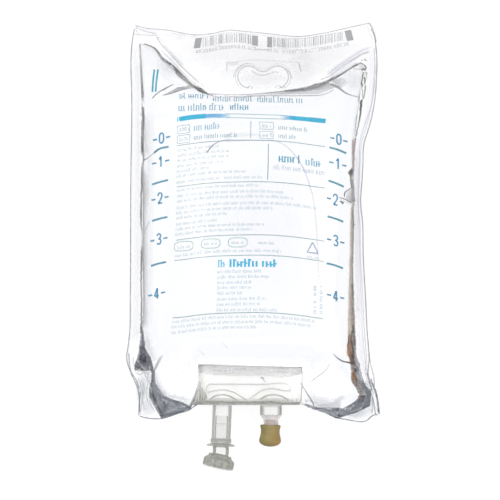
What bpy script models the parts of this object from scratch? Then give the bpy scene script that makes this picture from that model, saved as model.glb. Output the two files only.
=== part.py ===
# A filled 500 mL infusion bag lying on its back.
# Metres, +Z up out of the printed front, +Y towards the header, +X to the right.
# The origin is on the table, under the middle of the chamber's flat back.

from math import atan2, cos, hypot, pi, radians, sin, tau

import bmesh
import bpy
import numpy as np
from mathutils import Matrix, Vector

MM = 0.001

# Film and fits
FILM = 0.3 * MM                 # thickness of one sheet
CLEARANCE = 0.3 * MM            # between pieces that touch
WELD_GAP = 0.3 * MM             # between the two sheets where they are welded

# Plan of the bag, measured from the origin
LEFT_SEAL = 57 * MM             # inner line of the left weld
RIGHT_SEAL = 54 * MM            # inner line of the right weld
LEFT_WELD = 5.6 * MM            # width of the left weld
RIGHT_WELD = 6.0 * MM           # width of the right weld
BOTTOM_WELD = 2.0 * MM
HEADER_WELD = 81.5 * MM         # lowest line of the weld under the header
HEADER_BAND = 4.5 * MM          # height of that weld band
HEADER_LENGTH = 32.5 * MM       # from that lowest line to the header's top edge
PORT_FACE = 80 * MM             # lower face of the port block, below the origin

# Heights above the table
CROWN_HEIGHT = 41 * MM          # top of the filled chamber
CROWN_DROP = 5.5 * MM           # how much lower the crown is at both ends
CROWN_MIDDLE = 5 * MM           # middle of its level part, above the origin
CROWN_LEVEL = 35 * MM           # half length of that part
CROWN_FALL = 60 * MM            # length over which it drops, at each end
BUBBLE_DOME = 1.6 * MM          # extra rise of the film over the air bubble
BUBBLE_DEPTH = 1.5 * MM         # depth of air under the top of the film
BUBBLE_PLACE = (7 * MM, 2 * MM)
BUBBLE_SIZE = (33 * MM, 55 * MM)        # half width and length of the dome
FRONT_SHOULDER = 41 * MM        # how far in from a weld the front film keeps rising
BACK_SHOULDER = 17 * MM         # the same for the back film, which ends on the table
SIDE_WELD_HEIGHT = 14 * MM
HEADER_WELD_HEIGHT = 12 * MM
HEADER_EDGE_HEIGHT = 5.5 * MM
CORNER_HEIGHT = 6 * MM          # bottom corners
HEADER_WAVE = 2.2 * MM          # height of the waves along the header's free edge
HEADER_WAVE_LENGTH = 46 * MM
HEADER_WAVE_SHIFT = 4 * MM      # how far the first wave starts left of the origin
HEADER_WAVE_START = 19 * MM     # above the header weld
HEADER_WAVE_GROWTH = 17.5 * MM  # length over which the waves reach their height
SIDE_ABOVE_EDGE = 1.5 * MM      # the header's sides lie this much higher than its edge
SIDE_FALL_START = 15 * MM       # below the header weld
SIDE_FALL_LENGTH = 45 * MM
WELD_SPREAD = 30 * MM           # from beside the port block out to the side welds' height

# Hanging slot: a kidney-shaped cut whose tongue stays hinged along its lower side
SLOT_X = 6.3 * MM
SLOT_ABOVE_WELD = 3.7 * MM
SLOT_LOBE_RADIUS = 5.5 * MM
SLOT_LOBE_SPACING = 15.6 * MM
SLOT_DIP = 2.9 * MM
SLOT_KERF = 0.35 * MM
TONGUE_TILT = 36                # degrees, pushed back through the slot
HINGE_OVERLAP = 0.45 * MM

# Port block
BLOCK_WIDTH = 54 * MM
BLOCK_LENGTH = 21 * MM
BLOCK_THICKNESS = 14.4 * MM     # in the middle
BLOCK_EDGE = 2.8 * MM           # at both ends
BLOCK_FULLNESS = 4              # power of the section's outline
BLOCK_FAIRING = 8 * MM          # distance over which the films leave the block
BLOCK_END_FAIRING = 2.5 * MM
PANEL_RISE = 0.5 * MM
PANEL_MARGIN = 5.5 * MM         # between the panel's ends and the block's
PANEL_LENGTH = 10.8 * MM
ARCH_RISE = 0.4 * MM
OUTER_ARCH = (10.0 * MM, 7.7 * MM)      # half width and height
INNER_ARCH = (7.2 * MM, 5.2 * MM)
PORT_HEIGHT = 11.5 * MM         # port axes above the table
PORT_SPACING = 25.3 * MM        # from the set port's axis to the injection port's
SOCKET_DEPTH = 10 * MM
BLOCK_BORE_RADIUS = 3.0 * MM

# Set port
SET_PORT_INSET = 12.1 * MM      # from the block's left end to the port's axis
SET_PORT_LEAN = 2.3             # degrees, outwards
SET_TUBE_RADIUS = 5.0 * MM
SET_TUBE_BORE = 3.5 * MM
SET_TUBE_LENGTH = 19.9 * MM     # below the block
SET_BEAD_RADIUS = 5.4 * MM
SET_BEAD_LENGTH = 2.0 * MM
SLEEVE_WALL = 0.4 * MM
SLEEVE_LENGTH = 11.4 * MM
SLEEVE_TOP = 5.8 * MM           # below the block
MEMBRANE_DEPTH = 4.2 * MM       # below the top of its sleeve
MEMBRANE_THICKNESS = 0.5 * MM

# Pull-off protector
PLUG_LENGTH = 2.3 * MM
PROTECTOR_WALL = 0.9 * MM
FLANGE_RADIUS = 7.4 * MM
FLANGE_THICKNESS = 0.5 * MM
FLANGE_DROOP = 0.8 * MM
NECK_RADIUS = 4.2 * MM
NECK_LENGTH = 5.4 * MM
GRIP_RADIUS = 8.1 * MM
GRIP_LENGTH = 6.7 * MM
GRIP_TOP_RADIUS = 5.9 * MM      # the narrower step on top of the grip
GRIP_TOP_LENGTH = 1.2 * MM
GRIP_SCALLOPS = 8
GRIP_SCALLOP_DEPTH = 0.9 * MM
GRIP_CANT = 10                  # degrees that the grip has been bent over

# Injection port
INJECTION_RADIUS = 5.7 * MM
INJECTION_WALL = 1.4 * MM
INJECTION_BARREL = 5.3 * MM     # straight length below the block
INJECTION_TAPER = 2.7 * MM
INJECTION_NECK_RADIUS = 3.8 * MM
INJECTION_NECK_WALL = 1.1 * MM
INJECTION_NECK_SHOWN = 2.5 * MM
INJECTION_NECK_HIDDEN = 6.5 * MM
STOPPER_RIM_RADIUS = 5.3 * MM
STOPPER_WAIST_RADIUS = 4.9 * MM
STOPPER_BULGE_RADIUS = 5.8 * MM
STOPPER_LENGTH = 11.4 * MM
STOPPER_PLUG_LENGTH = 9.5 * MM

# Facets
TUBE_STEPS = 28
GRIP_STEPS = 48
BLOCK_STEPS = 28

# Outlines as (position along the edge from 0 to 1, offset in mm) from the straight lines above
LEFT_EDGE = [(0, 4.4), (0.08, 3.8), (0.12, -0.3), (0.165, -1.9), (0.3, -0.5), (0.6, -0.2), (0.78, 0.3),
             (0.97, 0.7), (1, 1.8)]
RIGHT_EDGE = [(0, 6.6), (0.06, 5.3), (0.095, 2.4), (0.2, 0.6), (0.3, -0.2), (0.42, -1.8), (0.55, -2.8),
              (0.69, -1.8), (0.75, 2.4), (0.8, 4.5), (0.85, 5.5), (0.94, 5.5), (0.98, 4.0), (1, 1.4)]
LEFT_SEAL_LINE = [(0, 9.5), (0.04, 5.5), (0.08, 4.0), (0.115, 1.5), (0.14, -2.2), (0.17, -1.6), (0.2, -0.5),
                  (0.42, 0.6), (0.78, 0), (0.95, -1.2), (1, -1.2)]
RIGHT_SEAL_LINE = [(0, 1.5), (0.05, 6.5), (0.09, 4.5), (0.2, -0.6), (0.42, -1), (0.55, -0.4), (0.73, 0.6),
                   (0.8, 2.4), (0.87, 4.0), (1, 4.6)]
TOP_EDGE = [(0, 4), (0.04, 2.2), (0.155, 0.4), (0.28, -1.7), (0.345, -0.6), (0.417, 1.2), (0.493, 0.1),
            (0.62, -1.4), (0.694, -2.2), (0.833, 0.9), (0.927, 3.5), (1, 5.1)]
HEADER_WELD_LINE = [(0, 27), (0.056, 24.2), (0.134, 15.3), (0.212, 8.1), (0.266, 3.6), (0.325, 0.3),
                    (0.5, 0), (0.64, 0.8), (0.742, 2.4), (0.8, 4.1), (0.859, 7.1), (0.902, 10), (0.96, 14.3),
                    (1, 16.8)]
LEFT_CORNER = [(0, 0), (0.14, -2.5), (0.36, -5.2), (0.61, -7.4), (0.8, -7.4), (1, -6.3)]
RIGHT_CORNER = [(0, 0), (0.1, -1), (0.26, -3.2), (0.44, -6.8), (0.63, -8.2), (0.84, -8.4), (1, -5.3)]

# Where the grid lines of the films lie between two of the outline's lines, from 0 to 1
FROM_SEAL = [0, 0.045, 0.12, 0.23, 0.38, 0.57, 0.78, 1]
BLOCK_COLUMNS = 8
LOBE_ROWS = [0, 0.07, 0.2, 0.4, 0.66, 1]
CHAMBER_ROWS = [0, 0.012, 0.035, 0.075, 0.13, 0.2, 0.29, 0.39, 0.49, 0.59, 0.69, 0.78, 0.85, 0.905, 0.945,
                0.972, 0.989, 1]
HEADER_ROWS = 5


def smooth_curve(points):
    """A function through the points: cubic pieces whose slopes are the mean of their neighbours'."""
    place, value = np.array(points, dtype=float).T
    slope = np.gradient(value, place)

    def curve(q):
        q = np.clip(q, place[0], place[-1])
        k = np.clip(np.searchsorted(place, q, side="right") - 1, 0, len(place) - 2)
        span = place[k + 1] - place[k]
        t = (q - place[k]) / span
        start = (1 + 2 * t) * (1 - t) ** 2 * value[k] + t * (1 - t) ** 2 * span * slope[k]
        end = t * t * (3 - 2 * t) * value[k + 1] + t * t * (t - 1) * span * slope[k + 1]
        return start + end

    return curve


def smooth_step(q):
    q = np.clip(q, 0, 1)
    return q * q * (3 - 2 * q)


def in_mm(points):
    return smooth_curve([(place, value * MM) for place, value in points])


BAG_LOW = -PORT_FACE - 6.5 * MM
HEADER_TOP = HEADER_WELD + HEADER_LENGTH
BAG_HIGH = HEADER_TOP + 4 * MM
BLOCK_HALF = BLOCK_WIDTH / 2 + CLEARANCE
BLOCK_TOP_LINE = -PORT_FACE + BLOCK_LENGTH + CLEARANCE
LEFT_EDGE_X = -LEFT_SEAL - LEFT_WELD
RIGHT_EDGE_X = RIGHT_SEAL + RIGHT_WELD
PANEL_WIDTH = BLOCK_WIDTH - 2 * PANEL_MARGIN
SET_PORT_X = SET_PORT_INSET - BLOCK_WIDTH / 2
INJECTION_X = SET_PORT_X + PORT_SPACING

left_edge_curve = in_mm(LEFT_EDGE)
right_edge_curve = in_mm(RIGHT_EDGE)
left_seal_curve = in_mm(LEFT_SEAL_LINE)
right_seal_curve = in_mm(RIGHT_SEAL_LINE)
top_edge_curve = in_mm(TOP_EDGE)
header_weld_curve = in_mm(HEADER_WELD_LINE)
left_corner_curve = in_mm(LEFT_CORNER)
right_corner_curve = in_mm(RIGHT_CORNER)


def along(y):
    return (y - BAG_LOW) / (BAG_HIGH - BAG_LOW)


def across(x):
    return (x - LEFT_EDGE_X) / (RIGHT_EDGE_X - LEFT_EDGE_X)


def left_edge(y):
    return LEFT_EDGE_X + left_edge_curve(along(y))


def right_edge(y):
    return RIGHT_EDGE_X + right_edge_curve(along(y))


def left_seal(y):
    return -LEFT_SEAL + left_seal_curve(along(y))


def right_seal(y):
    return RIGHT_SEAL + right_seal_curve(along(y))


def top_edge(x):
    return HEADER_TOP + top_edge_curve(across(x))


def header_weld(x):
    """The weld under the header: a shallow U that climbs at both sides of the chamber."""
    return HEADER_WELD + header_weld_curve((x + LEFT_SEAL) / (LEFT_SEAL + RIGHT_SEAL))


def bottom_edge(x):
    """Straight along the port block, and lower at both corners."""
    left = left_corner_curve((-x - BLOCK_HALF) / (-LEFT_EDGE_X - BLOCK_HALF))
    right = right_corner_curve((x - BLOCK_HALF) / (RIGHT_EDGE_X - BLOCK_HALF))
    return -PORT_FACE + CLEARANCE + np.where(x < 0, left, right)


def distance_in(x, y):
    """How far a point lies inside the chamber's welds: a smooth least of its five distances."""
    slope = (header_weld(x + MM) - header_weld(x - MM)) / (2 * MM)
    beyond = np.maximum(np.abs(x) - BLOCK_HALF, 0)
    above = np.maximum(y - BLOCK_TOP_LINE, 0)
    parts = (x - left_seal(y), right_seal(y) - x, (header_weld(x) - y) / np.sqrt(1 + slope ** 2),
             y - bottom_edge(x) - BOTTOM_WELD, np.hypot(beyond, above))
    outside = np.min(parts, axis=0) <= 0.001 * MM
    near = np.maximum(parts, 0.01 * MM) / MM
    return np.where(outside, 0, np.sum(near ** -4.0, axis=0) ** -0.25 * MM)


def weld_height(x, y):
    """Height of the middle of the weld between the two films."""
    header = HEADER_WELD_HEIGHT + (HEADER_EDGE_HEIGHT - HEADER_WELD_HEIGHT) * np.clip(
        (y - HEADER_WELD) / HEADER_LENGTH, 0, 1.2)
    middle = np.where(y > HEADER_WELD, header, HEADER_WELD_HEIGHT)
    middle = middle + (PORT_HEIGHT - middle) * smooth_step(-(y + PORT_FACE / 2) / (PORT_FACE / 4))
    low = CORNER_HEIGHT + (SIDE_WELD_HEIGHT - CORNER_HEIGHT) * smooth_step((y + PORT_FACE) / (PORT_FACE / 2))
    fall = smooth_step((y - HEADER_WELD + SIDE_FALL_START) / SIDE_FALL_LENGTH)
    side = low + (HEADER_EDGE_HEIGHT + SIDE_ABOVE_EDGE - low) * fall
    sideways = smooth_step((np.abs(x) - BLOCK_HALF) / WELD_SPREAD)
    wave = np.sin(tau * (x + HEADER_WAVE_SHIFT) / HEADER_WAVE_LENGTH) * HEADER_WAVE
    free = smooth_step((y - HEADER_WELD - HEADER_WAVE_START) / HEADER_WAVE_GROWTH)
    return middle + (side - middle) * sideways + wave * free


def block_half(x, rise):
    """Half of the block's thickness: full in the middle, thin at both ends."""
    full = 1 - np.minimum(np.abs(x) / (BLOCK_WIDTH / 2), 1) ** BLOCK_FULLNESS
    return BLOCK_EDGE / 2 + (BLOCK_THICKNESS / 2 + rise - BLOCK_EDGE / 2) * full


def half_gap(x, y):
    """Half of the space between the films: the weld's own, or the port block's."""
    beyond = np.maximum(np.abs(x) - BLOCK_HALF, 0) / BLOCK_END_FAIRING
    above = np.maximum(y - BLOCK_TOP_LINE, 0) / BLOCK_FAIRING
    near = np.clip(1 - np.hypot(beyond, above), 0, 1)
    around_block = block_half(x, PANEL_RISE + 2 * ARCH_RISE) + CLEARANCE
    return WELD_GAP / 2 + (around_block - WELD_GAP / 2) * near


def crown(x, y):
    """Height of the filled chamber's top, with a dome over the air bubble."""
    drop = CROWN_DROP * smooth_step((np.abs(y - CROWN_MIDDLE) - CROWN_LEVEL) / CROWN_FALL)
    (bubble_x, bubble_y), (width, length) = BUBBLE_PLACE, BUBBLE_SIZE
    away = ((x - bubble_x) / width) ** 2 + ((y - bubble_y) / length) ** 2
    return CROWN_HEIGHT - FILM - BUBBLE_DOME - drop + BUBBLE_DOME * np.exp(-away ** 2)


def front_height(x, y):
    """Inner side of the front film: from the weld up to the crown along a round shoulder."""
    low = weld_height(x, y) + half_gap(x, y)
    inward = 1 - np.minimum(distance_in(x, y) / FRONT_SHOULDER, 1)
    return low + (crown(x, y) - low) * (1 - inward ** 2.4) ** 0.53


def back_height(x, y):
    """Inner side of the back film: from the weld down to the table along a round shoulder."""
    high = weld_height(x, y) - half_gap(x, y)
    inward = 1 - np.minimum(distance_in(x, y) / BACK_SHOULDER, 1)
    return high - (high - FILM) * np.sqrt(1 - inward ** 2)


def spread(knots, fractions):
    """Places between each pair of knots, at the fractions given for that pair."""
    places = [knots[0][..., None]]
    for low, high, steps in zip(knots, knots[1:], fractions):
        steps = np.array(steps[1:])
        places.append(low[..., None] + (high - low)[..., None] * steps)
    return np.concatenate(places, axis=-1)


HALF_FLANGE = [0, 0.5, 1]
TO_SEAL = [1 - place for place in reversed(FROM_SEAL)]
COLUMN_STEPS = [HALF_FLANGE, FROM_SEAL, list(np.linspace(0, 1, BLOCK_COLUMNS + 1)), TO_SEAL, HALF_FLANGE]
ROW_STEPS = [[0, 1], LOBE_ROWS, CHAMBER_ROWS, [0, 1], list(np.linspace(0, 1, HEADER_ROWS + 1))]
COLUMNS = sum(len(steps) - 1 for steps in COLUMN_STEPS)
ROWS = sum(len(steps) - 1 for steps in ROW_STEPS)


def film_plan():
    """Places of the films' grid: its lines follow the welds, the edges and the port block."""
    x = np.linspace(LEFT_EDGE_X, RIGHT_EDGE_X, COLUMNS + 1)[None, :].repeat(ROWS + 1, axis=0)
    y = np.linspace(BAG_LOW, BAG_HIGH, ROWS + 1)[:, None].repeat(COLUMNS + 1, axis=1)
    column = np.arange(COLUMNS + 1)
    row = np.arange(ROWS + 1)
    for _ in range(12):
        block = np.full(y.shape, BLOCK_HALF)
        knots = [left_edge(y), left_seal(y), -block, block, right_seal(y), right_edge(y)]
        x = np.take_along_axis(spread(knots, COLUMN_STEPS), column[None, :, None], axis=2)[..., 0]
        line = np.full(x.shape, BLOCK_TOP_LINE)
        weld = header_weld(x)
        knots = [bottom_edge(x), bottom_edge(x) + BOTTOM_WELD, line, weld, weld + HEADER_BAND, top_edge(x)]
        y = np.take_along_axis(spread(knots, ROW_STEPS), row[:, None, None], axis=2)[..., 0]
    return x.ravel(), y.ravel()


parts = bpy.data.collections.new("iv_fluid_bag")
cutters = bpy.data.collections.new("cutters")


def start():
    for item in list(bpy.data.objects):
        bpy.data.objects.remove(item)
    bpy.context.scene.collection.children.link(parts)
    bpy.context.scene.collection.children.link(cutters)


def material(name, color, roughness, alpha=1.0):
    finish = bpy.data.materials.new(name)
    finish.use_nodes = True
    shader = finish.node_tree.nodes["Principled BSDF"]
    shader.inputs["Base Color"].default_value = (*color, 1)
    shader.inputs["Roughness"].default_value = roughness
    shader.inputs["Metallic"].default_value = 0
    shader.inputs["Alpha"].default_value = alpha
    return finish


def add_object(name, shape, collection=parts):
    """An object from a bmesh, which is used up."""
    mesh = bpy.data.meshes.new(name)
    shape.to_mesh(mesh)
    shape.free()
    item = bpy.data.objects.new(name, mesh)
    collection.objects.link(item)
    if collection is cutters:
        item.hide_render = True
        item.display_type = "WIRE"
    return item


def shade(item, angle=35):
    item.data.shade_smooth()
    item.data.set_sharp_from_angle(angle=radians(angle))


def baked(item):
    """Replace an object's mesh by its evaluated one, and drop its modifiers."""
    bpy.context.view_layer.update()
    seen = item.evaluated_get(bpy.context.evaluated_depsgraph_get())
    item.data = bpy.data.meshes.new_from_object(seen)
    item.modifiers.clear()
    return item


def boolean(item, tool, operation):
    step = item.modifiers.new(tool.name, "BOOLEAN")
    step.operation = operation
    step.object = tool
    step.solver = "EXACT"


def film_grid():
    """The films' grid as a flat sheet of triangles, laid out in plan."""
    x, y = film_plan()
    sheet = bmesh.new()
    bmesh.ops.create_grid(sheet, x_segments=COLUMNS, y_segments=ROWS, size=1)
    order = sorted(sheet.verts, key=lambda corner: (round(corner.co.y, 4), round(corner.co.x, 4)))
    for corner, across_x, along_y in zip(order, x, y):
        corner.co = (across_x, along_y, 0)
    bmesh.ops.triangulate(sheet, faces=sheet.faces[:], quad_method="FIXED")
    return sheet


def lift(sheet, height):
    """Raise every corner of a sheet to the height of a film there."""
    corners = list(sheet.verts)
    x, y = np.array([corner.co[:2] for corner in corners]).T
    for corner, z in zip(corners, height(x, y)):
        corner.co.z = z
    sheet.normal_update()


def film_object(name, height, side, finish):
    """One welded sheet: the grid at its inner side, with its thickness laid on outside."""
    sheet = film_grid()
    lift(sheet, height)
    if side < 0:
        bmesh.ops.reverse_faces(sheet, faces=sheet.faces[:])
    item = add_object(name, sheet)
    item.data.materials.append(finish)
    wall = item.modifiers.new("film", "SOLIDIFY")
    wall.thickness = FILM
    wall.offset = 1
    return item


def kidney(inset, overlap):
    """Outline of the slot, from the middle of its hinge: two lobes with a dip between them."""
    radius = SLOT_LOBE_RADIUS - inset
    half = SLOT_LOBE_SPACING / 2
    centre_y = SLOT_LOBE_RADIUS
    lobe = [radians(angle) for angle in range(-90, 91, 15)]
    right = [(half + radius * cos(angle), centre_y + radius * sin(angle)) for angle in lobe]
    steps = [place / 8 for place in range(1, 8)]
    top = centre_y + radius
    dip = [(half - 2 * half * t, top - SLOT_DIP * sin(pi * t) ** 2) for t in steps]
    left = [(-x, y) for x, y in reversed(right)]
    hinge = [(-half, -overlap), (half, -overlap)] if overlap else []
    return right + dip + left + hinge


def plate(outline, low, high):
    """A flat outline given thickness from one height to another."""
    shape = bmesh.new()
    face = shape.faces.new([shape.verts.new((x, y, low)) for x, y in outline])
    raised = bmesh.ops.extrude_face_region(shape, geom=[face])["geom"]
    moved = [part for part in raised if isinstance(part, bmesh.types.BMVert)]
    bmesh.ops.translate(shape, verts=moved, vec=(0, 0, high - low))
    bmesh.ops.recalc_face_normals(shape, faces=shape.faces[:])
    return shape


def hanging_slot(film, side):
    """Cut the slot through one film and hinge its tongue to it, pushed back by its tilt."""
    hinge_y = HEADER_WELD + SLOT_ABOVE_WELD
    hinge_z = float(weld_height(np.array([SLOT_X]), np.array([hinge_y]))[0])
    hinge = Matrix.Translation((SLOT_X, hinge_y, hinge_z))
    header_slope = atan2(HEADER_WELD_HEIGHT - HEADER_EDGE_HEIGHT, HEADER_LENGTH)

    hole = plate(kidney(0, 0), -20 * FILM, 20 * FILM)
    hole.transform(hinge)
    boolean(film, add_object(film.name + "_slot", hole, cutters), "DIFFERENCE")

    low = WELD_GAP / 2 * cos(header_slope)
    overlap = HINGE_OVERLAP if side > 0 else HINGE_OVERLAP / 9
    heights = sorted((side * low, side * (low + FILM)))
    tongue = plate(kidney(SLOT_KERF, overlap), *heights)
    tongue.transform(hinge @ Matrix.Rotation(-header_slope - radians(TONGUE_TILT), 4, "X"))
    boolean(film, add_object(film.name + "_tongue", tongue, cutters), "UNION")


def solution_object(finish):
    """The liquid: the space between the films, less the fit, flat where air lies over it."""
    level = CROWN_HEIGHT - FILM - BUBBLE_DEPTH
    top = film_grid()
    back = film_grid()
    lift(top, front_height)
    lift(back, back_height)
    floor = [under.co + under.normal * CLEARANCE for under in back.verts]
    back.free()
    place = top.verts.layers.int.new("place")
    x, y = np.array([corner.co[:2] for corner in top.verts]).T
    wet = distance_in(x, y) > 0.5 * MM
    dry = []
    for number, corner in enumerate(top.verts):
        corner[place] = number
        corner.co -= corner.normal * CLEARANCE
        corner.co.z = min(corner.co.z, level)
        if not wet[number]:
            dry.append(corner)
    bmesh.ops.delete(top, geom=dry, context="VERTS")
    lower = bmesh.ops.extrude_face_region(top, geom=top.faces[:], use_keep_orig=True)["geom"]
    for part in lower:
        if isinstance(part, bmesh.types.BMVert):
            part.co = floor[part[place]]
    bmesh.ops.recalc_face_normals(top, faces=top.faces[:])
    item = add_object("solution", top)
    item.data.materials.append(finish)
    return item


def port_frame(x, lean):
    """Where a port's axis leaves the block: local +Z runs up into the block."""
    turn = Matrix.Rotation(radians(-lean), 4, "Z") @ Matrix.Rotation(-pi / 2, 4, "X")
    return Matrix.Translation((x, -PORT_FACE, PORT_HEIGHT)) @ turn


def turned(name, profile, frame, collection=parts, steps=TUBE_STEPS, closed=True):
    """A profile of (radius, height) turned about a port's axis. It runs down its outer side first."""
    shape = bmesh.new()
    corners = [shape.verts.new((radius, 0, height)) for radius, height in profile]
    for first, second in zip(corners, corners[1:]):
        shape.edges.new((first, second))
    if closed:
        shape.edges.new((corners[-1], corners[0]))
    item = add_object(name, shape, collection)
    item.matrix_world = frame
    screw = item.modifiers.new("turn", "SCREW")
    screw.steps = steps
    screw.render_steps = steps
    screw.use_merge_vertices = True
    screw.merge_threshold = 0.00001
    screw.use_smooth_shade = True
    return item


def lens(name, rise, low, high, collection):
    """The block's section, raised by a terrace, from one place along the bag to another."""
    x = np.linspace(-BLOCK_WIDTH / 2, BLOCK_WIDTH / 2, BLOCK_STEPS + 1)
    half = block_half(x, rise)
    outline = [(a, h) for a, h in zip(x, half)] + [(a, -h) for a, h in zip(x[::-1], half[::-1])]
    shape = plate(outline, -high, -low)
    shape.transform(Matrix.Translation((0, 0, PORT_HEIGHT)) @ Matrix.Rotation(pi / 2, 4, "X"))
    return add_object(name, shape, collection)


def arch(size, centre):
    """Plan of a half ellipse that stands on the block's lower face."""
    width, height = size
    turns = [radians(angle) for angle in range(0, 181, 15)]
    return [(centre + width * cos(angle), height * sin(angle)) for angle in turns]


def panel():
    """Plan of the raised panel, with its upper corners rounded."""
    half = PANEL_WIDTH / 2
    radius = PANEL_LENGTH / 3
    turns = [radians(angle) for angle in range(0, 91, 15)]
    centre_x, centre_y = half - radius, PANEL_LENGTH - radius
    right = [(centre_x + radius * cos(angle), centre_y + radius * sin(angle)) for angle in turns]
    left = [(-x, y) for x, y in reversed(right)]
    return [(half, 0)] + right + left + [(-half, 0)]


def terrace(block, name, rise, outlines):
    """Raise the block inside some outlines, on its front and its back."""
    low = -PORT_FACE + CLEARANCE
    raised = lens(name, rise, low, low + BLOCK_LENGTH / 2, cutters)
    plan = bmesh.new()
    for outline in outlines:
        prism = plate(outline, -BLOCK_THICKNESS, BLOCK_THICKNESS)
        prism.transform(Matrix.Translation((0, -PORT_FACE, PORT_HEIGHT)))
        mesh = bpy.data.meshes.new(name)
        prism.to_mesh(mesh)
        prism.free()
        plan.from_mesh(mesh)
    boolean(raised, add_object(name + "_plan", plan, cutters), "INTERSECT")
    boolean(block, raised, "UNION")


def port_block_object(finish):
    """The moulded block that the films are welded round, with a socket and a bore for each port."""
    block = lens("port_block", 0, -PORT_FACE, -PORT_FACE + BLOCK_LENGTH, parts)
    block.data.materials.append(finish)
    ports = (SET_PORT_X, INJECTION_X)
    terrace(block, "panel", PANEL_RISE, [panel()])
    terrace(block, "outer_arches", PANEL_RISE + ARCH_RISE, [arch(OUTER_ARCH, x) for x in ports])
    terrace(block, "inner_arches", PANEL_RISE + 2 * ARCH_RISE, [arch(INNER_ARCH, x) for x in ports])
    sockets = ((SET_PORT_X, SET_PORT_LEAN, SET_TUBE_RADIUS), (INJECTION_X, 0, INJECTION_RADIUS))
    for number, (x, lean, radius) in enumerate(sockets):
        outer = radius + CLEARANCE
        depth = SOCKET_DEPTH + CLEARANCE
        past = BLOCK_LENGTH + 2 * MM
        profile = [(0, past), (BLOCK_BORE_RADIUS, past), (BLOCK_BORE_RADIUS, depth), (outer, depth),
                   (outer, -2 * MM), (0, -2 * MM)]
        tool = turned(f"socket_{number}", profile, port_frame(x, lean), cutters, closed=False)
        boolean(block, tool, "DIFFERENCE")
    return block


def set_port_tube_object(finish):
    """The giving set's tube, with a bead round its open end."""
    end = -SET_TUBE_LENGTH
    bead = end + SET_BEAD_LENGTH
    edge = 0.3 * MM
    profile = [(SET_TUBE_RADIUS - edge, SOCKET_DEPTH), (SET_TUBE_RADIUS, SOCKET_DEPTH - edge),
               (SET_TUBE_RADIUS, bead + edge), (SET_BEAD_RADIUS, bead), (SET_BEAD_RADIUS, end + edge),
               (SET_BEAD_RADIUS - edge, end), (SET_TUBE_BORE, end), (SET_TUBE_BORE, SOCKET_DEPTH)]
    tube = turned("set_port_tube", profile, port_frame(SET_PORT_X, SET_PORT_LEAN))
    tube.data.materials.append(finish)
    return tube


def set_port_membrane_object(finish):
    """A short sleeve inside the set port, closed by the web that the spike pierces."""
    outer = SET_TUBE_BORE - CLEARANCE
    inner = outer - SLEEVE_WALL
    top = -SLEEVE_TOP
    low = top - SLEEVE_LENGTH
    web = top - MEMBRANE_DEPTH
    profile = [(0, web), (inner, web), (inner, top), (outer, top), (outer, low), (inner, low),
               (inner, web - MEMBRANE_THICKNESS), (0, web - MEMBRANE_THICKNESS)]
    sleeve = turned("set_port_membrane", profile, port_frame(SET_PORT_X, SET_PORT_LEAN), closed=False)
    sleeve.data.materials.append(finish)
    return sleeve


def bend_grip(mesh, start, length):
    """Bend the cap sideways along its neck, so that its grip is canted about the end of the neck."""
    for corner in mesh.vertices:
        below = start - corner.co.z
        if below <= 0:
            continue
        turn = radians(GRIP_CANT) * min(below / length, 1)
        middle = Vector((0, 0, start - length))
        corner.co = middle + Matrix.Rotation(turn, 3, "Y") @ (corner.co - middle)


def scallop_grip(mesh, high):
    """Press hollows into the side of the grip, deepest at its widest."""
    for corner in mesh.vertices:
        radius = hypot(corner.co.x, corner.co.y)
        if corner.co.z > high or radius <= NECK_RADIUS:
            continue
        share = (radius - NECK_RADIUS) / (GRIP_RADIUS - NECK_RADIUS)
        angle = atan2(corner.co.y, corner.co.x)
        hollow = (0.5 - 0.5 * cos(GRIP_SCALLOPS * angle)) * GRIP_SCALLOP_DEPTH * share
        corner.co.x *= 1 - hollow / radius
        corner.co.y *= 1 - hollow / radius


def protector_object(finish):
    """The pull-off protector: a hollow plug, a thin drooping flange, a neck and a scalloped grip."""
    plug = SET_TUBE_BORE - CLEARANCE
    bore = NECK_RADIUS - PROTECTOR_WALL - 0.5 * MM
    seat = -SET_TUBE_LENGTH - CLEARANCE
    flange_low = seat - FLANGE_THICKNESS
    grip_high = flange_low - NECK_LENGTH
    grip_low = grip_high - GRIP_LENGTH
    profile = [(0, grip_high), (bore, grip_high), (bore, seat + PLUG_LENGTH), (plug, seat + PLUG_LENGTH),
               (plug, seat), (SET_BEAD_RADIUS, seat), (FLANGE_RADIUS, seat - FLANGE_DROOP),
               (FLANGE_RADIUS, seat - FLANGE_DROOP - FLANGE_THICKNESS), (SET_BEAD_RADIUS, flange_low),
               (NECK_RADIUS, flange_low), (NECK_RADIUS, grip_high),
               (GRIP_TOP_RADIUS - 0.3 * MM, grip_high), (GRIP_TOP_RADIUS, grip_high - 0.3 * MM),
               (GRIP_TOP_RADIUS + 0.2 * MM, grip_high - GRIP_TOP_LENGTH),
               (GRIP_RADIUS - 0.6 * MM, grip_high - GRIP_TOP_LENGTH - 1 * MM),
               (GRIP_RADIUS, grip_high - GRIP_TOP_LENGTH - 1.8 * MM),
               (GRIP_RADIUS, grip_low + 0.8 * MM), (GRIP_RADIUS - 0.5 * MM, grip_low),
               (GRIP_RADIUS * 0.7, grip_low), (GRIP_RADIUS * 0.62, grip_low + 1.2 * MM),
               (0, grip_low + 1.2 * MM)]
    cap = turned("set_port_protector", profile, port_frame(SET_PORT_X, SET_PORT_LEAN), steps=GRIP_STEPS,
                 closed=False)
    baked(cap)
    scallop_grip(cap.data, grip_high)
    bend_grip(cap.data, flange_low - 1 * MM, NECK_LENGTH - 1 * MM)
    cap.data.materials.append(finish)
    return cap


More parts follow.
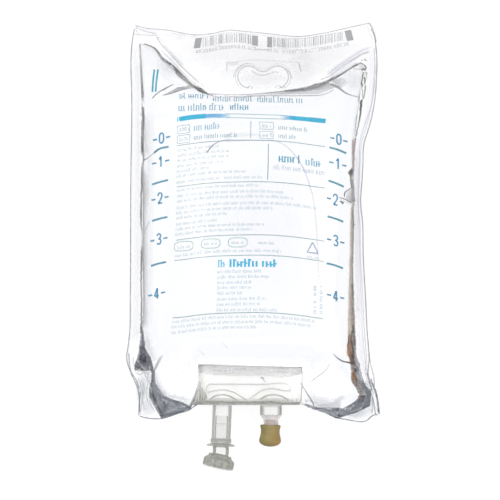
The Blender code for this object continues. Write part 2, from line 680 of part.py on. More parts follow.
def injection_levels():
    """Heights along the injection port: end of its barrel, of its taper, of its neck and of the stopper."""
    barrel = -INJECTION_BARREL
    taper = barrel - INJECTION_TAPER
    stopper = taper - INJECTION_NECK_SHOWN
    neck = stopper - INJECTION_NECK_HIDDEN
    return barrel, taper, stopper, neck


def injection_tube_object(finish):
    """The stepped tube for added drugs: a wide barrel, a taper and a narrow neck."""
    barrel, taper, stopper, neck = injection_levels()
    wide = INJECTION_RADIUS - INJECTION_WALL
    narrow = INJECTION_NECK_RADIUS - INJECTION_NECK_WALL
    edge = 0.3 * MM
    profile = [(INJECTION_RADIUS - edge, SOCKET_DEPTH), (INJECTION_RADIUS, SOCKET_DEPTH - edge),
               (INJECTION_RADIUS, barrel), (INJECTION_NECK_RADIUS, taper),
               (INJECTION_NECK_RADIUS, neck + edge), (INJECTION_NECK_RADIUS - edge, neck),
               (narrow, neck), (narrow, taper + edge), (wide, barrel + edge), (wide, SOCKET_DEPTH)]
    tube = turned("injection_port_tube", profile, port_frame(INJECTION_X, 0))
    tube.data.materials.append(finish)
    return tube


def stopper_object(finish):
    """The rubber stopper: a sleeve over the neck, a domed end and a plug inside the neck."""
    barrel, taper, high, neck = injection_levels()
    low = high - STOPPER_LENGTH
    sleeve = INJECTION_NECK_RADIUS + CLEARANCE
    plug = INJECTION_NECK_RADIUS - INJECTION_NECK_WALL - CLEARANCE
    plug_top = neck - CLEARANCE + STOPPER_PLUG_LENGTH
    bottom = neck - CLEARANCE
    profile = [(0, plug_top), (plug - 0.5 * MM, plug_top), (plug, plug_top - 0.5 * MM), (plug, bottom),
               (sleeve, bottom), (sleeve, high), (STOPPER_RIM_RADIUS - 0.5 * MM, high),
               (STOPPER_RIM_RADIUS, high - 0.5 * MM), (STOPPER_RIM_RADIUS, high - 1.1 * MM),
               (STOPPER_WAIST_RADIUS, high - 2.2 * MM), (STOPPER_WAIST_RADIUS, high - 4.6 * MM),
               (STOPPER_BULGE_RADIUS - 0.3 * MM, high - 6.8 * MM), (STOPPER_BULGE_RADIUS, high - 8.3 * MM),
               (STOPPER_BULGE_RADIUS - 0.4 * MM, low + 2.0 * MM),
               (STOPPER_BULGE_RADIUS * 0.75, low + 1.0 * MM),
               (STOPPER_BULGE_RADIUS * 0.4, low + 0.2 * MM), (0, low)]
    stopper = turned("injection_stopper", profile, port_frame(INJECTION_X, 0), closed=False)
    stopper.data.materials.append(finish)
    return stopper


def build():
    start()
    clear_film = material("clear film", (0.95, 0.97, 1.0), 0.08, 0.25)
    liquid = material("solution", (0.97, 0.98, 1.0), 0.02, 0.3)
    moulded = material("moulded plastic", (0.9, 0.9, 0.87), 0.35, 0.6)
    tube_plastic = material("tube plastic", (0.88, 0.88, 0.85), 0.3, 0.6)
    rubber = material("tan rubber", (0.34, 0.27, 0.11), 0.6)

    front = film_object("front_film", front_height, 1, clear_film)
    back = film_object("back_film", back_height, -1, clear_film)
    hanging_slot(front, 1)
    hanging_slot(back, -1)
    pieces = [front, back, solution_object(liquid), port_block_object(moulded),
              set_port_tube_object(tube_plastic), set_port_membrane_object(tube_plastic),
              protector_object(tube_plastic), injection_tube_object(tube_plastic), stopper_object(rubber)]
    for piece in pieces:
        shade(piece)


build()
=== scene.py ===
import math
from functools import partial
import bpy
import bmesh
import numpy as np
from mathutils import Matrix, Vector


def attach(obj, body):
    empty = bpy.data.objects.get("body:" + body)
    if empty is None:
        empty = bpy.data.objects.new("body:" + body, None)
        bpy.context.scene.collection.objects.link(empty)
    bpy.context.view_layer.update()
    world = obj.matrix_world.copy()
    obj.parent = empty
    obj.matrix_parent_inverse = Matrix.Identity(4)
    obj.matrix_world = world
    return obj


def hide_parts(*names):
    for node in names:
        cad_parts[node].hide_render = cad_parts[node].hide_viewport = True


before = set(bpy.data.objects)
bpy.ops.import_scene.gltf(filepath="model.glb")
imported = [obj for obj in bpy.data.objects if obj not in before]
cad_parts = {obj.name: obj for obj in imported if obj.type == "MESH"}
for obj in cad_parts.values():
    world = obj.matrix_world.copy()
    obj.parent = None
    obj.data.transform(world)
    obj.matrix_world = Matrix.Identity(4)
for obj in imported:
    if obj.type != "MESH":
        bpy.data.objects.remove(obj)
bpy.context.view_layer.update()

mm = 0.001


def inMetres(lengths):
    # the same names with their millimetres turned to metres
    return {name: length * mm for name, length in lengths.items()}


# The photograph's frame, and how its pixels lie on the bag
photoFrame = {
    "pixels": 500,
    "mmPerPixel": 0.52,
    "originPixel": (251.0, 251.0),   # the pixel over the model's origin
    "sharpHeight": 14 * mm,          # height at which a pixel is exactly that long
    "cameraHeight": 2.2,
}


def sight():
    # the middle pixel, the length of a pixel, the camera's place over the bag and its height over sharpHeight
    middle = photoFrame["pixels"] / 2
    scale = photoFrame["mmPerPixel"] * mm
    originX, originY = photoFrame["originPixel"]
    distance = photoFrame["cameraHeight"] - photoFrame["sharpHeight"]
    return middle, scale, (middle - originX) * scale, (originY - middle) * scale, distance


def smoothStep(q):
    # 3 q squared less 2 q cubed, held between 0 and 1
    q = np.clip(q, 0, 1)
    return q * q * (3 - 2 * q)


def curveThrough(points, unit=1.0):
    # cubic pieces through the points, each with the mean slope of its neighbours
    place, value = np.array(points, dtype=float).T
    value = value * unit
    slope = np.gradient(value, place)

    def curve(q):
        q = np.clip(q, place[0], place[-1])
        k = np.clip(np.searchsorted(place, q, side="right") - 1, 0, len(place) - 2)
        span = place[k + 1] - place[k]
        t = (q - place[k]) / span
        head = (1 + 2 * t) * (1 - t) ** 2 * value[k] + t * (1 - t) ** 2 * span * slope[k]
        tail = t * t * (3 - 2 * t) * value[k + 1] + t * t * (t - 1) * span * slope[k + 1]
        return head + tail

    return curve


# The bag's plan: the same lines as the frame's films
plan = inMetres({
    "leftSeal": -57, "rightSeal": 54,
    "leftEdge": -62.6, "rightEdge": 60,
    "headerTop": 114, "headerWeld": 81.5, "weldBand": 4.5,
    "portFace": -80, "bottomWeld": 2,
    "low": -86.5, "high": 118,
    "blockHalf": 27.3, "blockTop": -58.7,
})
leftEdgeWave = curveThrough(((0, 4.4), (0.075, 3), (0.115, -0.5), (0.148, -2.4), (0.184, -1.5),
    (0.223, -0.7), (0.3, -0.5), (0.6, -0.2), (0.78, 0.3), (0.97, 0.7), (1, 1.8)), mm)
rightEdgeWave = curveThrough(((0, 6.6), (0.06, 5.3), (0.08, 3.7), (0.103, 1.6), (0.146, 1.8), (0.22, 0.7),
    (0.3, -0.1), (0.42, -1.4), (0.49, -1.6), (0.55, -2.7), (0.6, -2), (0.645, -1.5), (0.69, -1.1),
    (0.75, 2.4), (0.8, 4.5), (0.85, 5.5), (0.94, 5.5), (0.98, 4), (1, 1.4)), mm)
leftSealWave = curveThrough(((0, 9.5), (0.04, 5.5), (0.08, 4), (0.115, 1.5), (0.14, -2.2), (0.17, -1.6),
    (0.2, -0.5), (0.42, 0.6), (0.78, 0), (0.95, -1.2), (1, -1.2)), mm)
rightSealWave = curveThrough(((0, 1.5), (0.05, 6.5), (0.09, 4.5), (0.2, -0.6), (0.42, -1), (0.55, -0.4),
    (0.73, 0.6), (0.8, 2.4), (0.87, 4), (1, 4.6)), mm)
topWave = curveThrough(((0, 5), (0.04, 3.3), (0.155, 1.5), (0.28, -0.9), (0.345, -0.1), (0.417, 1.7),
    (0.493, 0.8), (0.62, -0.8), (0.694, -1.7), (0.833, 0.4), (0.927, 2.8), (1, 4.8)), mm)
weldWave = curveThrough(((0, 27), (0.056, 24.2), (0.134, 15.3), (0.212, 8.1), (0.266, 3.6), (0.325, 0.3),
    (0.5, 0), (0.64, 0.8), (0.742, 2.4), (0.8, 4.1), (0.859, 7.1), (0.902, 10), (0.96, 14.3), (1, 16.8)),
    mm)
leftCorner = curveThrough(((0, 0), (0.07, -1.6), (0.13, -3.2), (0.29, -5.1), (0.44, -6.9), (0.55, -8),
    (0.65, -8.1), (0.76, -7.8), (0.88, -6.8), (1, -6.2)), mm)
rightCorner = curveThrough(((0, 0), (0.1, -1), (0.26, -3.3), (0.41, -5.9), (0.54, -7.6), (0.67, -8.4),
    (0.8, -9.2), (0.93, -9.7), (0.98, -9.5), (1.03, -8.7), (1.08, -7.1), (1.12, -6.3), (1.21, -6)), mm)


def along(y):
    # share of the bag's length, from its low end to the header's top
    return (y - plan["low"]) / (plan["high"] - plan["low"])


def across(x):
    # share of the bag's width, from the left edge to the right
    return (x - plan["leftEdge"]) / (plan["rightEdge"] - plan["leftEdge"])


def sideLine(start, wave):
    # the function that gives a side at y: its straight line moved by its wave
    return lambda y: plan[start] + wave(along(y))


edgeLeft, edgeRight = sideLine("leftEdge", leftEdgeWave), sideLine("rightEdge", rightEdgeWave)
sealLeft, sealRight = sideLine("leftSeal", leftSealWave), sideLine("rightSeal", rightSealWave)


def edgeTop(x):
    # the header's top edge, moved by its wave
    return plan["headerTop"] + topWave(across(x))


def weldLine(x):
    # the weld under the header, moved by its wave between the side welds
    return plan["headerWeld"] + weldWave((x - plan["leftSeal"]) / (plan["rightSeal"] - plan["leftSeal"]))


def edgeBottom(x):
    # flat along the block's face, and the two corners' own curves beyond it
    left = leftCorner((-x - plan["blockHalf"]) / (-plan["leftEdge"] - plan["blockHalf"]))
    right = rightCorner((x - plan["blockHalf"]) / (plan["rightEdge"] - plan["blockHalf"]))
    return plan["portFace"] + 0.3 * mm + np.where(x < 0, left, right)


# Heights of the films above the table
heights = inMetres({
    "film": 0.3, "gap": 0.3,
    "crown": 41, "crownDrop": 5.5, "bubbleDome": 1.6, "bubbleDepth": 1.5,
    "frontShoulder": 41, "backShoulder": 17,
    "sideWeld": 14, "headerWeld": 12, "headerEdge": 5.5, "corner": 6,
    "wave": 2.2, "waveLength": 46, "port": 11.5,
    "blockMiddle": 7.2, "blockEnd": 1.4, "terraces": 1.3, "sideRise": 1.5,
})
frontPowers = (2.4, 0.53)
# Lengths in the plan over which the heights change, and where they start
reaches = inMetres({
    "portFade": 20, "cornerFade": 40, "sideFade": 30, "headerFrom": 15,
    "headerFade": 45, "waveFrom": 19, "waveFade": 17.5, "waveShift": 4,
    "blockTip": 27, "gapAside": 2.5, "gapAbove": 8,
    "crownMiddle": 5, "crownFlat": 35, "crownFade": 60,
    "bubbleX": 7, "bubbleY": 2, "bubbleWide": 33, "bubbleLong": 55,
})


def insideBy(x, y):
    # smooth least of the distances to the two side welds, the header weld, the bottom weld and the block
    slope = (weldLine(x + mm) - weldLine(x - mm)) / (2 * mm)
    beyond = np.maximum(np.abs(x) - plan["blockHalf"], 0)
    above = np.maximum(y - plan["blockTop"], 0)
    parts = np.array((x - sealLeft(y), sealRight(y) - x, (weldLine(x) - y) / np.sqrt(1 + slope ** 2),
                      y - edgeBottom(x) - plan["bottomWeld"], np.hypot(beyond, above)))
    outside = parts.min(axis=0) <= 0.001 * mm
    near = np.maximum(parts, 0.01 * mm) / mm
    return np.where(outside, 0, np.sum(near ** -4.0, axis=0) ** -0.25 * mm)


def weldHeight(x, y):
    # 12 mm under the header, 14 mm along the sides and 6 mm at the corners, with waves on the free edge
    header = heights["headerWeld"] + (heights["headerEdge"] - heights["headerWeld"]) * np.clip(
        (y - plan["headerWeld"]) / (plan["headerTop"] - plan["headerWeld"]), 0, 1.2)
    middle = np.where(y > plan["headerWeld"], header, heights["headerWeld"])
    middle = middle + (heights["port"] - middle) * smoothStep(
        -(y - plan["portFace"] / 2) / reaches["portFade"])
    low = heights["corner"] + (heights["sideWeld"] - heights["corner"]) * smoothStep(
        (y - plan["portFace"]) / reaches["cornerFade"])
    up = smoothStep((y - plan["headerWeld"] + reaches["headerFrom"]) / reaches["headerFade"])
    side = low + (heights["headerEdge"] + heights["sideRise"] - low) * up
    sideways = smoothStep((np.abs(x) - plan["blockHalf"]) / reaches["sideFade"])
    wave = np.sin(math.tau * (x + reaches["waveShift"]) / heights["waveLength"]) * heights["wave"]
    free = smoothStep((y - plan["headerWeld"] - reaches["waveFrom"]) / reaches["waveFade"])
    return middle + (side - middle) * sideways + wave * free


def blockHalf(x, rise):
    # half the block's thickness: a full curve of the fourth power, thin at both ends
    full = 1 - np.minimum(np.abs(x) / reaches["blockTip"], 1) ** 4
    return heights["blockEnd"] + (heights["blockMiddle"] + rise - heights["blockEnd"]) * full


def halfGap(x, y):
    # half of the space between the films at a weld, opened round the block
    beyond = np.maximum(np.abs(x) - plan["blockHalf"], 0) / reaches["gapAside"]
    above = np.maximum(y - plan["blockTop"], 0) / reaches["gapAbove"]
    near = np.clip(1 - np.hypot(beyond, above), 0, 1)
    rest = heights["gap"] / 2
    return rest + (blockHalf(x, heights["terraces"]) + heights["gap"] - rest) * near


def crownHeight(x, y):
    # the top of the fill, lower towards both ends, with a flat-topped dome over the air bubble
    past = np.abs(y - reaches["crownMiddle"]) - reaches["crownFlat"]
    drop = heights["crownDrop"] * smoothStep(past / reaches["crownFade"])
    away = (((x - reaches["bubbleX"]) / reaches["bubbleWide"]) ** 2
            + ((y - reaches["bubbleY"]) / reaches["bubbleLong"]) ** 2)
    dome = heights["bubbleDome"] * np.exp(-away ** 2)
    return heights["crown"] - heights["film"] - heights["bubbleDome"] - drop + dome


def frontHeight(x, y):
    # from the weld up to the crown, as one less the outward share to the first power, all to the second
    low = weldHeight(x, y) + halfGap(x, y)
    outward = 1 - np.minimum(insideBy(x, y) / heights["frontShoulder"], 1)
    first, second = frontPowers
    return low + (crownHeight(x, y) - low) * (1 - outward ** first) ** second


def backHeight(x, y):
    # from the weld down to the table along a quarter of an ellipse
    high = weldHeight(x, y) - halfGap(x, y)
    outward = 1 - np.minimum(insideBy(x, y) / heights["backShoulder"], 1)
    return high - (high - heights["film"]) * np.sqrt(1 - outward ** 2)


def spread(knots, fractions):
    # places between each two knots at the given fractions, in one row
    places = [knots[0][..., None]]
    for low, high, steps in zip(knots, knots[1:], fractions):
        places.append(low[..., None] + (high - low)[..., None] * np.array(steps[1:]))
    return np.concatenate(places, axis=-1)


def easeIn(count, power=1.8):
    # steps that start short: even steps to a power
    return list(np.linspace(0, 1, count + 1) ** power)


def easeOut(count, power=1.8):
    # the same steps the other way round, ending short
    return [1 - q for q in reversed(easeIn(count, power))]


def easeBoth(count):
    # steps short at both ends: a third even and two thirds half a cosine
    q = np.linspace(0, 1, count + 1)
    return list(0.35 * q + 0.65 * (0.5 - 0.5 * np.cos(np.pi * q)))


def even(count):
    # equal steps from 0 to 1
    return list(np.linspace(0, 1, count + 1))


gridSteps = {
    "columns": [even(12), easeIn(56), even(56), easeOut(56), even(12)],
    "rows": [even(5), even(34), easeBoth(150), even(8), even(44)],
}


def filmPlan():
    # the grid's lines follow the edges, the welds and the block; x and y are settled in turns
    columnSteps, rowSteps = gridSteps["columns"], gridSteps["rows"]
    columns = sum(len(steps) - 1 for steps in columnSteps)
    rows = sum(len(steps) - 1 for steps in rowSteps)
    x = np.linspace(plan["leftEdge"], plan["rightEdge"], columns + 1)[None, :].repeat(rows + 1, axis=0)
    y = np.linspace(plan["low"], plan["high"], rows + 1)[:, None].repeat(columns + 1, axis=1)
    column = np.arange(columns + 1)[None, :, None]
    row = np.arange(rows + 1)[:, None, None]
    for _ in range(12):
        block = np.full(y.shape, plan["blockHalf"])
        knots = [edgeLeft(y), sealLeft(y), -block, block, sealRight(y), edgeRight(y)]
        x = np.take_along_axis(spread(knots, columnSteps), column, axis=2)[..., 0]
        bottom, weld = edgeBottom(x), weldLine(x)
        knots = [bottom, bottom + plan["bottomWeld"], np.full(x.shape, plan["blockTop"]), weld,
                 weld + plan["weldBand"], edgeTop(x)]
        y = np.take_along_axis(spread(knots, rowSteps), row, axis=2)[..., 0]
    return x, y


def gridFaces(rows, columns):
    # quads of a grid of rows by columns of points, as point numbers
    first = np.arange(rows - 1)[:, None] * columns + np.arange(columns - 1)[None, :]
    return np.stack((first, first + 1, first + columns + 1, first + columns), axis=-1).reshape(-1, 4)


def meshFrom(name, points, faces):
    # a smooth-shaded object from arrays of points and of faces
    mesh = bpy.data.meshes.new(name)
    mesh.from_pydata(np.asarray(points).reshape(-1, 3).tolist(), [], np.asarray(faces).tolist())
    mesh.update()
    mesh.shade_smooth()
    item = bpy.data.objects.new(name, mesh)
    bpy.context.scene.collection.objects.link(item)
    return item


# Materials: how their nodes are made, then the clear ones

def nodeMaker(tree):
    # empties a node tree and returns the function that adds a node, with each socket's value or what feeds it
    tree.nodes.clear()

    def add(kind, sockets=(), **settings):
        node = tree.nodes.new("ShaderNode" + kind)
        for setting, value in settings.items():
            setattr(node, setting, value)
        for socket, value in dict(sockets).items():
            feed = value.outputs[0] if isinstance(value, bpy.types.Node) else value
            if isinstance(feed, bpy.types.NodeSocket):
                tree.links.new(feed, node.inputs[socket])
            else:
                node.inputs[socket].default_value = feed
        return node

    return add


def newMaterial(name):
    # an empty material and the function that adds its nodes
    made = bpy.data.materials.new(name)
    made.use_nodes = True
    return made, nodeMaker(made.node_tree)


def cloudNoise(add, size, detail=2):
    # noise on the piece's own coordinates
    place = add("TexCoord").outputs["Object"]
    return add("TexNoise", {"Scale": size, "Detail": detail, "Vector": place})


def spanNode(add, value, least, most, low, high, **settings):
    # a value between least and most becomes low to high
    sockets = {"From Min": least, "From Max": most, "To Min": low, "To Max": high, "Value": value}
    return add("MapRange", sockets, **settings)


def liquidMaterial():
    # bends light as salt water does, and lets shadow rays through
    made, add = newMaterial("saline")
    water = add("BsdfPrincipled", {"Base Color": (0.97, 0.98, 1, 1), "Roughness": 0, "IOR": 1.33,
                                   "Transmission Weight": 1})
    clear = add("BsdfTransparent", {"Color": (0.95, 0.96, 0.98, 1)})
    shadow = add("LightPath").outputs["Is Shadow Ray"]
    add("OutputMaterial", {0: add("MixShader", {0: shadow, 1: water, 2: clear})})
    return made


def filmMaterial(name):
    # clear film, nearly unseen from the front and stronger where it is seen at a slant
    made, add = newMaterial(name)
    slant = add("LayerWeight", {"Blend": 0.5}).outputs["Facing"]
    rise = spanNode(add, slant, 0.45, 0.95, 0.06, 0.5, interpolation_type="SMOOTHSTEP")
    film = add("BsdfPrincipled", {"Base Color": (0.86, 0.89, 0.96, 1), "Roughness": 0.08, "Alpha": rise})
    add("OutputMaterial", {0: film})
    return made


# Folds pressed into the front film and the liquid: a net of flat facets at both lower corners, and ridges
foldNets = (
    {   # pixel places with the height each is moved by, in mm, and the facets between them
        "places": dict(
            a=(128, 340, 0), b=(150, 336, 0), c=(172, 352, 0), d=(205, 380, 0),
            e=(196, 404, 0), f=(162, 418, 0), g=(139, 417, 0), h=(131, 372, 0),
            i=(146, 354, -1.6), j=(152, 371, 1.2), k=(153, 389, -1.8), l=(177, 401, 1.1),
            m=(140, 392, 0.4)),
        "facets": "abi bcj bji aih ijh hjk hkm hmg mkf mfg klf lef cdl clj jlk del",
    },
    {
        "places": dict(
            a=(366, 335, 0), b=(345, 333, 0), c=(322, 350, 0), d=(298, 382, 0),
            e=(301, 402, 0), f=(336, 417, 0), q=(367, 420, 0), g=(378, 414, 0),
            h=(371, 380, 0), i=(354, 345, 0.9), j=(343, 362, -1.7), k=(357, 377, 1.2),
            p=(358, 391, -1.8), l=(335, 405, 1.2), m=(369, 396, 0.5), n=(345, 409, -1.1)),
        "facets": "abi bcj bji aih ikh ijk hkp hpm hmg mqg mpq pnq nfq lnp lfn efl del cdl clj jlp jpk",
    },
)
foldRidges = (
    # pixel places along each ridge, its height and its half width in mm
    (((150, 99), (157.5, 93), (164.6, 88.6), (175, 83)), -1.0, 1.6),
    (((158, 97), (170, 91), (179, 87.5), (192, 86.5)), -1.1, 1.7),
    (((144, 160), (155, 152.5)), -0.5, 1.1),
    (((329, 83), (338, 86.8), (345, 92), (359, 97)), -0.9, 1.5),
    (((340, 197), (345, 190), (352, 187)), 0.8, 1.3),
    (((341, 199), (348, 203), (354, 206)), -0.9, 1.2),
    (((350, 190), (349, 203)), -0.7, 1.3),
    (((162, 355.8), (152.7, 369.6)), -0.7, 1.4),
    (((325.7, 364.4), (316, 376.5), (302.4, 383.4)), -0.5, 1.1),
    (((200.9, 381.6), (194, 398.8), (188.8, 409)), -0.7, 1.3),
    (((302.4, 385), (311, 398.8), (314.5, 407.5), (336.9, 417.8)), -0.7, 1.3),
)


def baseTop(x, y):
    # outer face of the front film without its folds
    return frontHeight(x, y) + heights["film"]


def pixels(points):
    # the plan places seen at pixels: the line of sight meets the front film, settled in five turns
    u, v = np.array(points, dtype=float).T[:2]
    middle, scale, eyeX, eyeY, distance = sight()
    z = np.full(u.shape, photoFrame["sharpHeight"])
    for _ in range(5):
        reach = scale * (photoFrame["cameraHeight"] - z) / distance
        x = eyeX + (u - middle) * reach
        y = eyeY - (v - middle) * reach
        z = baseTop(x, y)
    return np.column_stack((x, y))


def netHeight(x, y, net):
    # straight-line blend of the corner heights inside each facet, nothing outside
    names = list(net["places"])
    flat = pixels([net["places"][name] for name in names])
    lifts = dict(zip(names, (net["places"][name][2] * mm for name in names)))
    where = dict(zip(names, flat))
    total = np.zeros(x.shape)
    for facet in net["facets"].split():
        a, b, c = (where[name] for name in facet)
        twice = (b[0] - a[0]) * (c[1] - a[1]) - (c[0] - a[0]) * (b[1] - a[1])
        second = ((x - a[0]) * (c[1] - a[1]) - (c[0] - a[0]) * (y - a[1])) / twice
        third = ((b[0] - a[0]) * (y - a[1]) - (x - a[0]) * (b[1] - a[1])) / twice
        first = 1 - second - third
        inside = (first >= 0) & (second >= 0) & (third >= 0)
        value = first * lifts[facet[0]] + second * lifts[facet[1]] + third * lifts[facet[2]]
        total = np.where(inside, value, total)
    return total


def lineDistance(x, y, path):
    # least distance to the pieces of a path
    least = np.full(x.shape, 1.0)
    for start, end in zip(path, path[1:]):
        run = end - start
        t = np.clip(((x - start[0]) * run[0] + (y - start[1]) * run[1]) / (run @ run), 0, 1)
        least = np.minimum(least, np.hypot(x - start[0] - t * run[0], y - start[1] - t * run[1]))
    return least


def foldHeight(x, y):
    # nets and ridges together, each ridge falling off as e to the distance to the 1.5
    total = sum(netHeight(x, y, net) for net in foldNets)
    for places, height, half in foldRidges:
        away = lineDistance(x, y, pixels(places)) / (half * mm)
        total = total + height * mm * np.exp(-away ** 1.5)
    return total * smoothStep(insideBy(x, y) / (3 * mm))


def frontTop(x, y):
    # outer face of the front film with its folds
    return baseTop(x, y) + foldHeight(x, y)


# Films: one sheet each, with the hanging slot cut and its tongue pushed back

slot = {
    "x": 6.3 * mm, "aboveWeld": 3.7 * mm, "lobe": 5.5 * mm, "spacing": 14.8 * mm, "dip": 3.0 * mm,
    "kerf": 0.35 * mm, "tilt": math.radians(36), "rings": 7, "tongueGap": 0.45 * mm,
}


def kidneyOutline(inset, steps=14):
    # right lobe, the dip as sine squared between the lobes, left lobe; the hinge closes it
    radius = slot["lobe"] - inset
    half = slot["spacing"] / 2
    turn = np.linspace(-np.pi / 2, np.pi / 2, steps + 1)
    right = np.column_stack((half + radius * np.cos(turn), slot["lobe"] + radius * np.sin(turn)))
    t = np.arange(1, steps) / steps
    level = slot["lobe"] + radius - slot["dip"] * np.sin(np.pi * t) ** 2
    dip = np.column_stack((half - 2 * half * t, level))
    hinge = np.column_stack((np.linspace(-half, half, steps + 1)[1:-1], np.zeros(steps - 1)))
    return np.concatenate((right, dip, right[::-1] * (-1, 1), hinge))


def insideOutline(flat, outline):
    # a point is inside where a line to its right crosses the outline an odd number of times
    here, after = outline, np.roll(outline, -1, axis=0)
    x, y = flat[:, 0, None], flat[:, 1, None]
    between = (here[:, 1] > y) != (after[:, 1] > y)
    rise = np.where(np.abs(after[:, 1] - here[:, 1]) < 1e-12, 1e-12, after[:, 1] - here[:, 1])
    cross = here[:, 0] + (y - here[:, 1]) * (after[:, 0] - here[:, 0]) / rise
    return (between & (x < cross)).sum(axis=1) % 2 == 1


def nearestOn(flat, outline):
    # the nearest point of the outline's sides to each point
    here, after = outline, np.roll(outline, -1, axis=0)
    run = after - here
    t = ((flat[:, None, :] - here) * run).sum(axis=2) / (run ** 2).sum(axis=1)
    near = here + np.clip(t, 0, 1)[..., None] * run
    pick = np.linalg.norm(near - flat[:, None, :], axis=2).argmin(axis=1)
    return near[np.arange(len(flat)), pick]


def sheetMesh(heightAt, gap):
    # the grid at its height, without the slot's faces, whose rim is drawn onto the slot's outline
    outline = kidneyOutline(0) + (slot["x"], plan["headerWeld"] + slot["aboveWeld"])
    flat = np.column_stack((gridX.ravel(), gridY.ravel()))
    cut = insideOutline(flat[faces].mean(axis=1), outline)
    rim = np.intersect1d(faces[cut], faces[~cut])
    flat[rim] = nearestOn(flat[rim], outline)
    points = np.column_stack((flat, heightAt(flat[:, 0], flat[:, 1])))
    tongue, tongueFaces = tongueMesh(gap)
    kept = faces[~cut]
    return np.concatenate((points, tongue)), np.concatenate((kept, tongueFaces + len(points)))


def tongueMesh(gap):
    # rings shrinking from the outline to its middle, turned about the hinge by the tilt
    outline = kidneyOutline(slot["kerf"])
    centre = np.array((0, slot["lobe"] * 0.75))
    size = np.linspace(1, 0.02, slot["rings"])[:, None, None]
    flat = (centre + (outline - centre) * size).reshape(-1, 2)
    fall = heights["headerWeld"] - heights["headerEdge"]
    turn = math.atan2(fall, plan["headerTop"] - plan["headerWeld"]) + slot["tilt"]
    hingeY = plan["headerWeld"] + slot["aboveWeld"]
    hingeZ = weldHeight(np.array([slot["x"]]), np.array([hingeY]))[0]
    points = np.column_stack((slot["x"] + flat[:, 0],
                              hingeY + flat[:, 1] * math.cos(turn) + gap * math.sin(turn),
                              hingeZ - flat[:, 1] * math.sin(turn) + gap * math.cos(turn)))
    count = len(outline)
    here = np.arange(count)
    after = np.roll(here, -1)
    rings = [np.column_stack((k * count + here, k * count + after, (k + 1) * count + after,
                              (k + 1) * count + here)) for k in range(slot["rings"] - 1)]
    return points, np.concatenate(rings)


gridX, gridY = filmPlan()
faces = gridFaces(*gridX.shape)
front = meshFrom("frontSheet", *sheetMesh(frontTop, slot["tongueGap"]))
front.data.materials.append(filmMaterial("frontFilm"))
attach(front, "bag")
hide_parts("front_film")
backPoints, backFaces = sheetMesh(lambda x, y: backHeight(x, y) - heights["film"], -slot["tongueGap"])
back = meshFrom("backSheet", backPoints, backFaces[:, ::-1])
back.data.materials.append(filmMaterial("backFilm"))
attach(back, "bag")
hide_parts("back_film")
print("films", len(faces))


# Saline, filling the chamber up to a flat level under the air bubble

liquid = inMetres({"rim": 0.12, "clear": 0.1, "least": 0.2})


def fillMesh():
    # both films' surfaces drawn in by a little, joined round the chamber's rim
    inside = insideBy(gridX, gridY)
    wet = inside > liquid["rim"]
    low = backHeight(gridX, gridY) + liquid["clear"]
    high = frontTop(gridX, gridY) - heights["film"] - liquid["clear"]
    level = heights["crown"] - heights["film"] - heights["bubbleDepth"]
    high = np.maximum(np.minimum(high, level), low + liquid["least"])
    quads = faces[wet.ravel()[faces].all(axis=1)]
    used = np.unique(quads)
    number = np.full(gridX.size, -1)
    number[used] = np.arange(len(used))
    top = number[quads]
    under = top[:, ::-1] + len(used)
    edges = np.concatenate([quads[:, [k, (k + 1) % 4]] for k in range(4)])
    _, where, times = np.unique(np.sort(edges, axis=1), axis=0, return_index=True, return_counts=True)
    rim = number[edges[where[times == 1]]]
    wall = np.stack((rim[:, 1], rim[:, 0], rim[:, 0] + len(used), rim[:, 1] + len(used)), axis=-1)
    flat = np.stack((gridX.ravel(), gridY.ravel()), axis=-1)[used]
    points = np.concatenate((np.column_stack((flat, high.ravel()[used])),
                             np.column_stack((flat, low.ravel()[used]))))
    return points, np.concatenate((top, under, wall))


fill = meshFrom("salineFill", *fillMesh())
fill.data.materials.append(liquidMaterial())
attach(fill, "bag")
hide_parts("solution")
print("liquid")


# Drawing on the front film: lines and patches in the photograph's pixels, colours as six hexadecimal digits

def newDrawing():
    # pixel places, colours with strengths, faces, and how many points there are so far
    return {"flat": [], "tint": [], "faces": [], "count": 0}


def colourRows(colours):
    # rows of red, green and blue, 0 to 255, from words of six hexadecimal digits, from a grey or from numbers
    if isinstance(colours, str):
        colours = [[int(word[k:k + 2], 16) for k in (0, 2, 4)] for word in colours.split()]
    return np.atleast_2d(np.array(colours, dtype=float))


def tone(colours):
    # colours of 0 to 255 as light: the 2.4 power curve of a screen
    share = colourRows(colours) / 255
    return np.where(share < 0.04045, share / 12.92, ((share + 0.055) / 1.055) ** 2.4)


def keep(drawing, flat, tint, newFaces):
    # adds points and faces, numbered on from those before
    drawing["flat"].append(flat)
    drawing["tint"].append(tint)
    drawing["faces"].append(newFaces + drawing["count"])
    drawing["count"] += len(flat)


